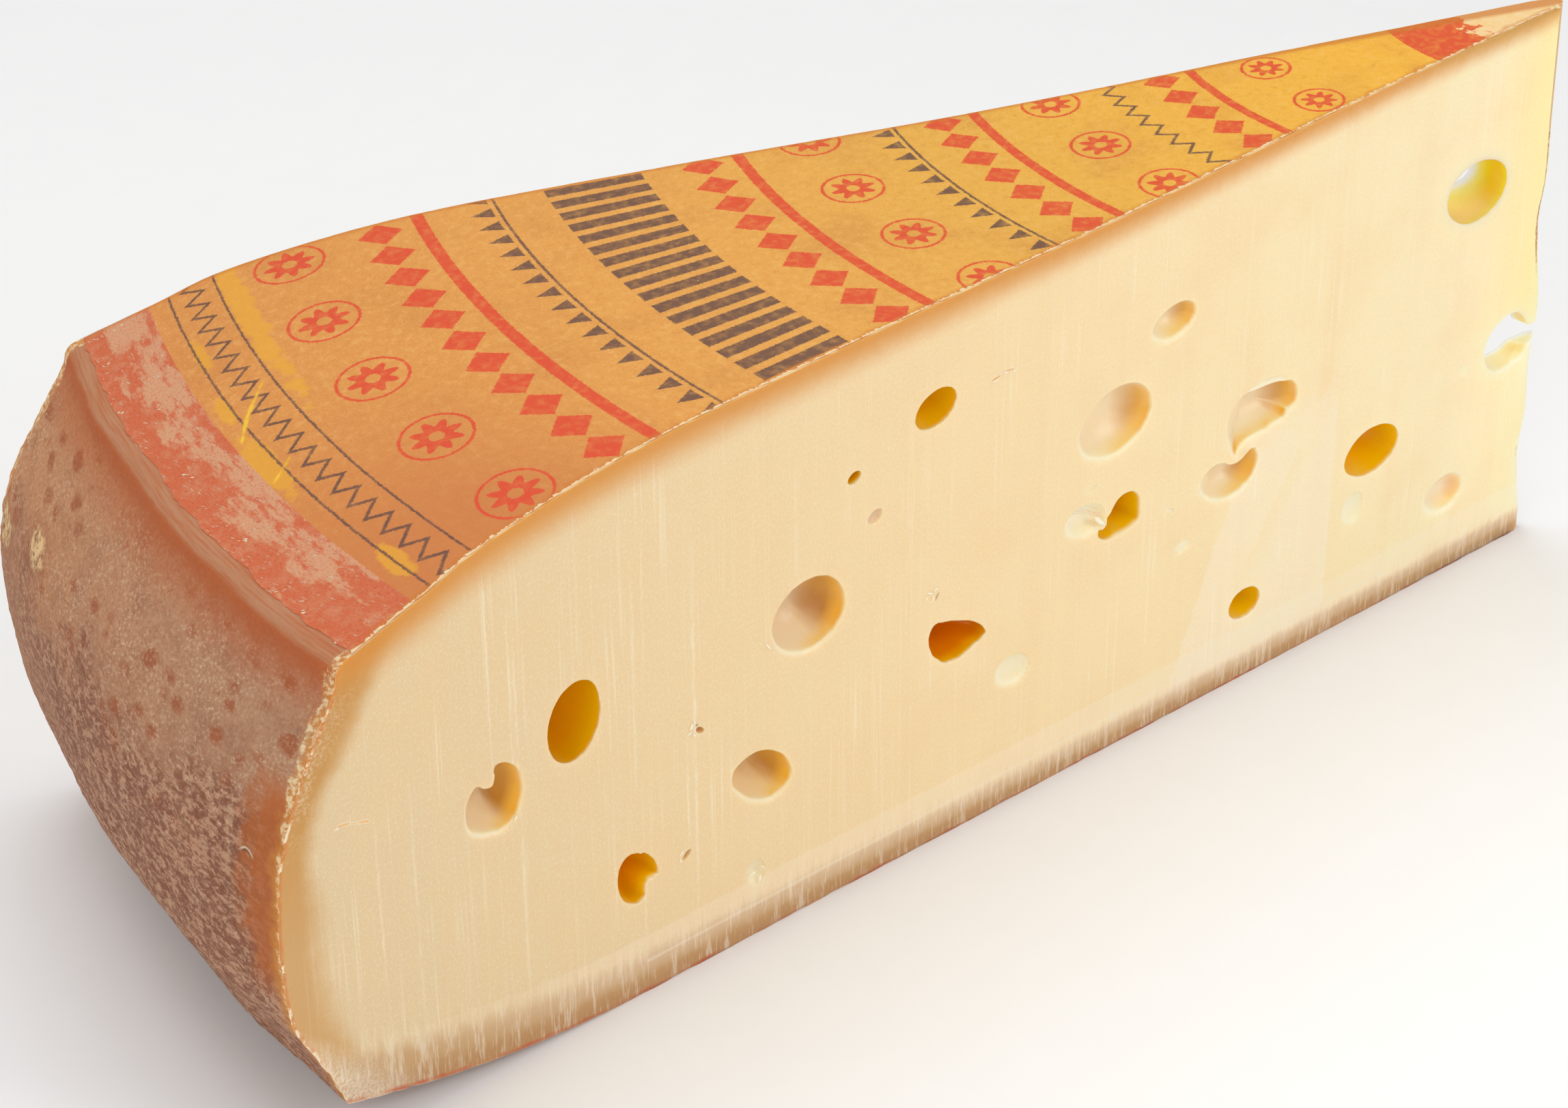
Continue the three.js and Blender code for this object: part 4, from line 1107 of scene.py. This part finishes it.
    relief = add("Bump", {0: 0.4, 1: 0.0009, "Height": grains(add, skin, 5, 4.0, 0.6, shift=9.0)})
    relief = add("Bump", {0: 0.55, 1: 0.0006, "Height": add("MULTIPLY", flakeGrain, flakeZone),
                          "Normal": relief})
    relief = add("Bump", {0: 0.5, 1: 0.0004, "Height": grain, "Normal": relief})
    relief = add("Bump", {0: 0.6, 1: 0.001, "Height": add("MAXIMUM", scarHeight, lifted),
                          "Normal": relief})
    shader = add("BsdfPrincipled", {"Base Color": body, "Roughness": rind["roughness"],
                                    "Specular IOR Level": rind["specular"], "Normal": relief,
                                    "Subsurface Weight": 0.1, "Subsurface Radius": (1.0, 0.5, 0.25),
                                    "Subsurface Scale": 0.002})
    add("OutputMaterial", shader)
    return material


paper = {
    "ochre": "#d68c48",         # at the rim
    "ochreRuddy": "#c87842",      # towards the near corner of the rim
    "ochreMiddle": "#e0a04c",
    "ochreInner": "#e2aa45",
    "ochreTip": "#efb238",
    "fibreDark": "#bd773a",
    "fibreLight": "#eebf72",
    "stain": "#e4a432",
    "red": "#d9472c",
    "redBand": "#cc6942",
    "redDeepAndCurlShadow": "#b9432a",
    "redFaded": "#d3a07a",
    "dark": "#66493f",
    "torn": "#efcf98",
    "fleck": "#f3dfbe",
    "crease": "#f2cc40",
    "wet": "#c8752a",
    "cutFleck": "#f1dcb0",
    "roughness": 0.72,
    "specular": 0.25,
    "bandInner": 397,           # inner edge of the red border
    "fieldRadius": 56,          # plain red field at the tip
    "tornRadius": 35,
    "rows": [
        {"ink": "dark", "motif": "rule", "at": 392.0, "width": 0.6},
        {"ink": "dark", "motif": "zigzag", "at": 386.2, "spacing": 7.4, "width": 5.0, "stroke": 0.95},
        {"ink": "dark", "motif": "rule", "at": 380.4, "width": 0.6},
        {"ink": "red", "motif": "rosette", "at": 362, "spacing": 33.0, "length": 19.0},
        {"ink": "red", "motif": "lozenge", "at": 338, "spacing": 12.6, "length": 11.4, "width": 12.0},
        {"ink": "red", "motif": "rule", "at": 327.4, "width": 3.4},
        {"ink": "dark", "motif": "pennant", "at": 312, "spacing": 8.0, "length": 5.4, "width": 6.0},
        {"ink": "dark", "motif": "rule", "at": 307.4, "width": 0.8},
        {"ink": "dark", "motif": "bar", "at": 281, "spacing": 6.8, "length": 4.2, "width": 26.0},
        {"ink": "red", "motif": "lozenge", "at": 252, "spacing": 12.0, "length": 10.8, "width": 11.6},
        {"ink": "red", "motif": "rule", "at": 241.8, "width": 3.2},
        {"ink": "red", "motif": "rosette", "at": 222, "spacing": 30.0, "shift": 0.5, "length": 17.0},
        {"ink": "dark", "motif": "pennant", "at": 203, "spacing": 7.6, "length": 5.0, "width": 5.6},
        {"ink": "dark", "motif": "rule", "at": 198.8, "width": 0.8},
        {"ink": "red", "motif": "lozenge", "at": 186, "spacing": 11.6, "length": 10.4, "width": 11.0},
        {"ink": "red", "motif": "rule", "at": 176.6, "width": 3.0},
        {"ink": "red", "motif": "rosette", "at": 156, "spacing": 28.0, "length": 16.4},
        {"ink": "dark", "motif": "zigzag", "at": 139, "spacing": 6.8, "width": 4.4, "stroke": 0.9},
        {"ink": "red", "motif": "lozenge", "at": 124, "spacing": 11.0, "length": 10.0, "width": 10.6},
        {"ink": "red", "motif": "rule", "at": 115.0, "width": 2.8},
        {"ink": "red", "motif": "rosette", "at": 96, "spacing": 24.0, "shift": 0.5, "length": 14.0},
    ],
    # places as arc from the middle and radius, mm: creases end to end, stains with half width along and out
    "creases": [((-18, 396), (-13, 389.5)), ((3, 395), (11, 390.4)), ((11, 390.4), (20, 383))],
    "stains": [(-11, 394.6, 16, 3.2), (18, 393.4, 6, 1.8), (46, 391, 9, 1.6), (52, 377, 46, 3.0),
               (-66, 392, 8, 2.4)],
}


# signed distance in mm, negative inside the ink, of one printed row round the wheel's axis
def printedRow(add, row, radius, turn):
    out = add("SUBTRACT", radius, row["at"])
    outSize = add("ABSOLUTE", out)
    if row["motif"] == "rule":
        return add("SUBTRACT", outSize, row["width"] / 2)
    count = add("MULTIPLY_ADD", turn, row["at"] / row["spacing"], row.get("shift", 0.0))
    whole = add("ROUND", count)
    along = add("MULTIPLY", add("SUBTRACT", count, whole), row["spacing"])
    alongSize = add("ABSOLUTE", along)
    if row["motif"] == "zigzag":
        rise = 2 * row["width"] / row["spacing"]
        line = add("MULTIPLY_ADD", alongSize, -rise, row["width"] / 2)
        away = add("ABSOLUTE", add("ADD", line, out))
        return add("MULTIPLY_ADD", away, 1 / math.hypot(1, rise), -row["stroke"] / 2)
    length, width = row["length"] / 2, row.get("width", row["length"]) / 2
    if row["motif"] == "lozenge":
        sum1 = add("MULTIPLY_ADD", alongSize, 1 / length, -1.0)
        sum2 = add("MULTIPLY_ADD", outSize, 1 / width, sum1)
        return add("MULTIPLY", sum2, length * width / math.hypot(length, width))
    if row["motif"] == "bar":
        sideways = add("SUBTRACT", alongSize, length)
        return add("MAXIMUM", sideways, add("SUBTRACT", outSize, width))
    if row["motif"] == "pennant":
        slope = add("MULTIPLY_ADD", out, length / (2 * width), -length / 2)
        sideways = add("ADD", alongSize, slope)
        return add("MAXIMUM", sideways, add("SUBTRACT", outSize, width))
    # rosette: eight petals round an open middle, inside a ring
    away = add("POWER", add("ADD", add("POWER", along, 2.0), add("POWER", out, 2.0)), 0.5)
    angle = add("MULTIPLY", add("ARCTAN2", out, along), 8.0)
    wave = add("MULTIPLY_ADD", add("COSINE", angle), length * 0.14, length * 0.56)
    petal = add("MAXIMUM", add("SUBTRACT", away, wave), add("SUBTRACT", length * 0.2, away))
    ring = add("ABSOLUTE", add("SUBTRACT", away, length * 0.93))
    return add("MINIMUM", petal, add("SUBTRACT", ring, 0.42))


# uncoated printed paper glued on the rind: short mottled fibres, matt, soaked with fat and yellower
# towards the tip, its print worn and its red border scuffed, faded and torn
def paperMaterial():
    material, add = newMaterial("printedUncoatedPaper")
    radius, turn, _, arc = wheelPlace(add)
    sheet = add("CombineXYZ", arc, radius, 0.0)

    cloud = grains(add, sheet, 28, 3.0, 0.5)
    fibre = grains(add, sheet, 0.7, 4.0, 0.75, (0.8, 1.2, 1.0))
    mottle = grains(add, sheet, 2.4, 3.0, 0.65, shift=3.0)
    ragged = add("MapRange", grains(add, sheet, 5, 4.0, 0.65, shift=6.0), 0.3, 0.7, -1.0)

    toTip = add("MapRange", radius, 400.0, 60.0)
    body = add("ValToRGB", toTip, stops=[(0.0, paper["ochre"]), (1.0, paper["ochreTip"]),
                                         (0.38, paper["ochreMiddle"]), (0.62, paper["ochreInner"])])
    body = add("Mix", add("MapRange", cloud, 0.5, 0.3, 0.0, 0.3), body, paper["fibreDark"])
    body = add("Mix", add("MapRange", mottle, 0.52, 0.68, 0.0, 0.26), body, paper["fibreLight"])
    body = add("Mix", add("MapRange", mottle, 0.46, 0.32, 0.0, 0.22), body, paper["fibreDark"])
    body = add("Mix", add("MapRange", fibre, 0.46, 0.32, 0.0, 0.35), body, paper["fibreDark"])
    body = add("Mix", add("MapRange", fibre, 0.54, 0.68, 0.0, 0.42), body, paper["fibreLight"])
    ruddy = add("MULTIPLY", add("MapRange", arc, 0.0, -60.0, 0.0, 0.8),
                add("MapRange", radius, 320.0, 370.0))
    body = add("Mix", ruddy, body, paper["ochreRuddy"])
    for at, out, halfAlong, halfOut in paper["stains"]:
        place = add("Mapping", sheet, (-at / halfAlong, -out / halfOut, 0), None,
                    (1 / halfAlong, 1 / halfOut, 1.0))
        way = add("MULTIPLY_ADD", ragged, 0.4, add("VectorMath", place, out=1, operation="LENGTH"))
        body = add("Mix", add("MapRange", way, 1.1, 0.8, 0.0, 0.7), body, paper["stain"])

    edges = {"red": add("SUBTRACT", radius, float(paper["fieldRadius"])), "dark": 5.0}
    for row in paper["rows"]:
        edges[row["ink"]] = add("MINIMUM", edges[row["ink"]], printedRow(add, row, radius, turn))
    inkRough = add("MapRange", fibre, 0.3, 0.7, -0.25, 0.25)
    for ink in ("dark", "red"):
        mask = add("MapRange", add("ADD", edges[ink], inkRough), 0.14, -0.14)
        body = add("Mix", add("MULTIPLY", mask, add("MapRange", mottle, 0.72, 0.45, 0.62, 0.92)), body,
                   paper[ink])

    # the tip's end is torn down to the paper's pale inside
    tornEdge = add("MULTIPLY_ADD", ragged, 4.5, radius)
    torn = add("MapRange", tornEdge, paper["tornRadius"] + 0.5, paper["tornRadius"] - 0.5)
    tornTone = add("Mix", add("MapRange", mottle, 0.4, 0.6, 0.0, 0.5), paper["torn"], paper["fibreLight"])
    body = add("Mix", torn, body, tornTone)

    # red border: scuffed through to beige in patches that run along it, with short torn fibres all over
    border = add("MapRange", add("MULTIPLY_ADD", inkRough, 0.6, radius), paper["bandInner"] - 0.15,
                 paper["bandInner"] + 0.15)
    bandTone = add("Mix", add("MapRange", fibre, 0.5, 0.36, 0.0, 0.6), paper["redBand"], paper["redDeepAndCurlShadow"])
    bandTone = add("Mix", add("MapRange", grains(add, sheet, 4, 4.0, 0.7, shift=9.0), 0.48, 0.7, 0.0,
                              0.4), bandTone, paper["redFaded"])
    patch = grains(add, sheet, 9, 6.0, 0.72, (0.42, 1.25, 1.0), shift=1.5)
    middle = add("ABSOLUTE", add("SUBTRACT", radius, 401.5))
    fadeReach = add("MapRange", middle, 2.0, 10.0, 0.065, -0.09)
    faded = add("MapRange", add("ADD", patch, fadeReach), 0.5, 0.57, 0.0, 0.85)
    faded = add("MULTIPLY", faded, add("MapRange", fibre, 0.36, 0.5, 0.35))
    bandTone = add("Mix", faded, bandTone, paper["redFaded"])
    stroke = add("MULTIPLY", add("MapRange", grains(add, sheet, 1.3, 3.0, 0.6, (0.4, 1.7, 1.0), -14),
                                 0.58, 0.68, 0.0, 0.5), add("MapRange", mottle, 0.42, 0.56))
    bandTone = add("Mix", stroke, bandTone, paper["fleck"])
    body = add("Mix", border, body, bandTone)

    # lifted curls of torn fibre, most at the outer edge, each with a painted shadow in deep red beside it
    curlSize = add("MapRange", radius, 388.0, 412.0, 0.0, 0.11)
    curl = add("ADD", grains(add, sheet, 2.6, 3.0, 0.6, (0.7, 1.5, 1.0), -30, 4.0), curlSize)
    curlShadow = add("ADD", grains(add, sheet, 2.6, 3.0, 0.6, (0.7, 1.5, 1.0), -30, 4.09), curlSize)
    # painted shadow beside each curl
    body = add("Mix", add("MapRange", curlShadow, 0.765, 0.79, 0.0, 0.6), body, paper["redDeepAndCurlShadow"])
    curlMask = add("MapRange", curl, 0.78, 0.8, 0.0, 0.85)
    body = add("Mix", curlMask, body, paper["fleck"])

    for start, end in paper["creases"]:
        gap = add("MULTIPLY_ADD", ragged, 0.5, lineGap(add, sheet, start, end))
        body = add("Mix", add("MapRange", gap, 0.9, 0.4, 0.0, 0.6), body, paper["stain"])
        body = add("Mix", add("MapRange", gap, 0.35, 0.1, 0.0, 0.7), body, paper["crease"])

    # the knife left pale torn flecks along the near cut, and the paper is soaked along both cuts
    half = add("MULTIPLY", radius, halfAngle)
    fromNear, fromFar = add("ADD", half, arc), add("SUBTRACT", half, arc)
    soaked = add("MINIMUM", add("MULTIPLY_ADD", ragged, 0.8, fromNear), fromFar)
    body = add("Mix", add("MapRange", soaked, 2.4, 0.4, 0.0, 0.75), body, paper["wet"])
    torn = add("MULTIPLY_ADD", grains(add, sheet, 2.0, 4.0, 0.7, shift=8.0), -3.6, fromNear)
    body = add("Mix", add("MapRange", torn, -0.9, -1.1, 0.0, 0.85), body, paper["cutFleck"])

    relief = add("Bump", {0: 0.4, 1: 0.0003, "Height": fibre})
    relief = add("Bump", {0: 0.3, 1: 0.0005, "Height": mottle, "Normal": relief})
    fibres = add("MAXIMUM", curlMask, add("MULTIPLY", stroke, border))
    relief = add("Bump", {0: 0.6, 1: 0.0006, "Height": fibres, "Normal": relief})
    shader = add("BsdfPrincipled", {"Base Color": body, "Roughness": paper["roughness"],
                                    "Specular IOR Level": paper["specular"], "Normal": relief})
    add("OutputMaterial", shader)
    return material


def finishCheese(piece):
    piece.data.materials.clear()
    for material in (pasteMaterial(), rindMaterial()):
        piece.data.materials.append(material)
    skin, side = readAttribute(piece, "skin"), readAttribute(piece, "side")
    away = readPlaces(piece) - [wheel["axisX"], 0, 0]
    radius = np.hypot(away[:, 0], away[:, 1])
    for face in piece.data.polygons:
        points = list(face.vertices)
        onCut = side[points].max() < 0.001 or side[points].min() > 0.999
        onRind = skin[points].min() > 0.5 and radius[points].min() > 3 and not onCut
        face.material_index = 1 if onRind else 0
    for name in ("skin", "side"):
        piece.data.attributes.remove(piece.data.attributes[name])
    deselectAll()
    piece.select_set(True)
    bpy.context.view_layer.objects.active = piece
    bpy.ops.object.shade_smooth_by_angle(angle=math.radians(32))
    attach(piece, "root")
    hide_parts("cheese")


def finishLabel(piece):
    piece.data.materials.append(paperMaterial())
    deselectAll()
    piece.select_set(True)
    bpy.context.view_layer.objects.active = piece
    bpy.ops.object.shade_smooth_by_angle(angle=math.radians(35))
    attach(piece, "root")
    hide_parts("label")


finishCheese(cheeseBody)
finishLabel(labelPaper)
print("materials made")

# camera, floor and light
shot = {
    "place": (-0.42686, -0.71288, 0.56237),
    "turn": (58.854, 0.258, -29.380),
    "lens": 83.62,
    "shift": (-0.0065, -0.0046),
}
lens = bpy.data.cameras.new("camera")
lens.lens, lens.sensor_width = shot["lens"], 36
lens.shift_x, lens.shift_y = shot["shift"]
camera = bpy.data.objects.new("camera", lens)
camera.location = shot["place"]
camera.rotation_euler = [math.radians(a) for a in shot["turn"]]
bpy.context.collection.objects.link(camera)
bpy.context.scene.camera = camera

studio = {
    "floorColour": "#f4f4f4",
    "air": "#ffffff",
    "airPower": 0.5,
    "key": {"place": (0.75, -0.95, 0.8), "target": (0.08, 0, 0.08), "size": 0.7, "power": 6.5},
    "top": {"place": (-0.15, 0.45, 1.5), "target": (-0.02, 0, 0.1), "size": 1.2, "power": 10},
    "fill": {"place": (-0.95, -0.75, 0.7), "target": (-0.1, 0, 0.06), "size": 0.9, "power": 4},
}


def buildStudio():
    material, add = newMaterial("paleFloor")
    speck = add("TexNoise", add("TexCoord", out=3), None, 60.0, 3.0)
    tone = add("Mix", add("MapRange", speck, 0.3, 0.7, 0.0, 0.06), studio["floorColour"], "#e2e2e2")
    shader = add("BsdfPrincipled", {"Base Color": tone, "Roughness": 0.9})
    add("OutputMaterial", shader)
    deselectAll()
    bpy.ops.mesh.primitive_plane_add(size=12)
    floor = bpy.context.active_object
    floor.name = "floor"
    floor.data.materials.append(material)
    world = bpy.data.worlds.new("softAir")
    bpy.context.scene.world = world
    world.use_nodes = True
    world.node_tree.nodes["Background"].inputs[0].default_value = colour(studio["air"])
    world.node_tree.nodes["Background"].inputs[1].default_value = studio["airPower"]
    bpy.context.scene.view_settings.view_transform = "Standard"
    for name in ("key", "top", "fill"):
        facts = studio[name]
        light = bpy.data.lights.new(name + "Light", "AREA")
        light.shape, light.size, light.energy = "SQUARE", facts["size"], facts["power"]
        lamp = bpy.data.objects.new(name + "Light", light)
        lamp.location = facts["place"]
        lamp.rotation_mode = "QUATERNION"
        aim = Vector(facts["target"]) - Vector(facts["place"])
        lamp.rotation_quaternion = aim.to_track_quat("-Z", "Y")
        bpy.context.collection.objects.link(lamp)


buildStudio()
print("studio ready")
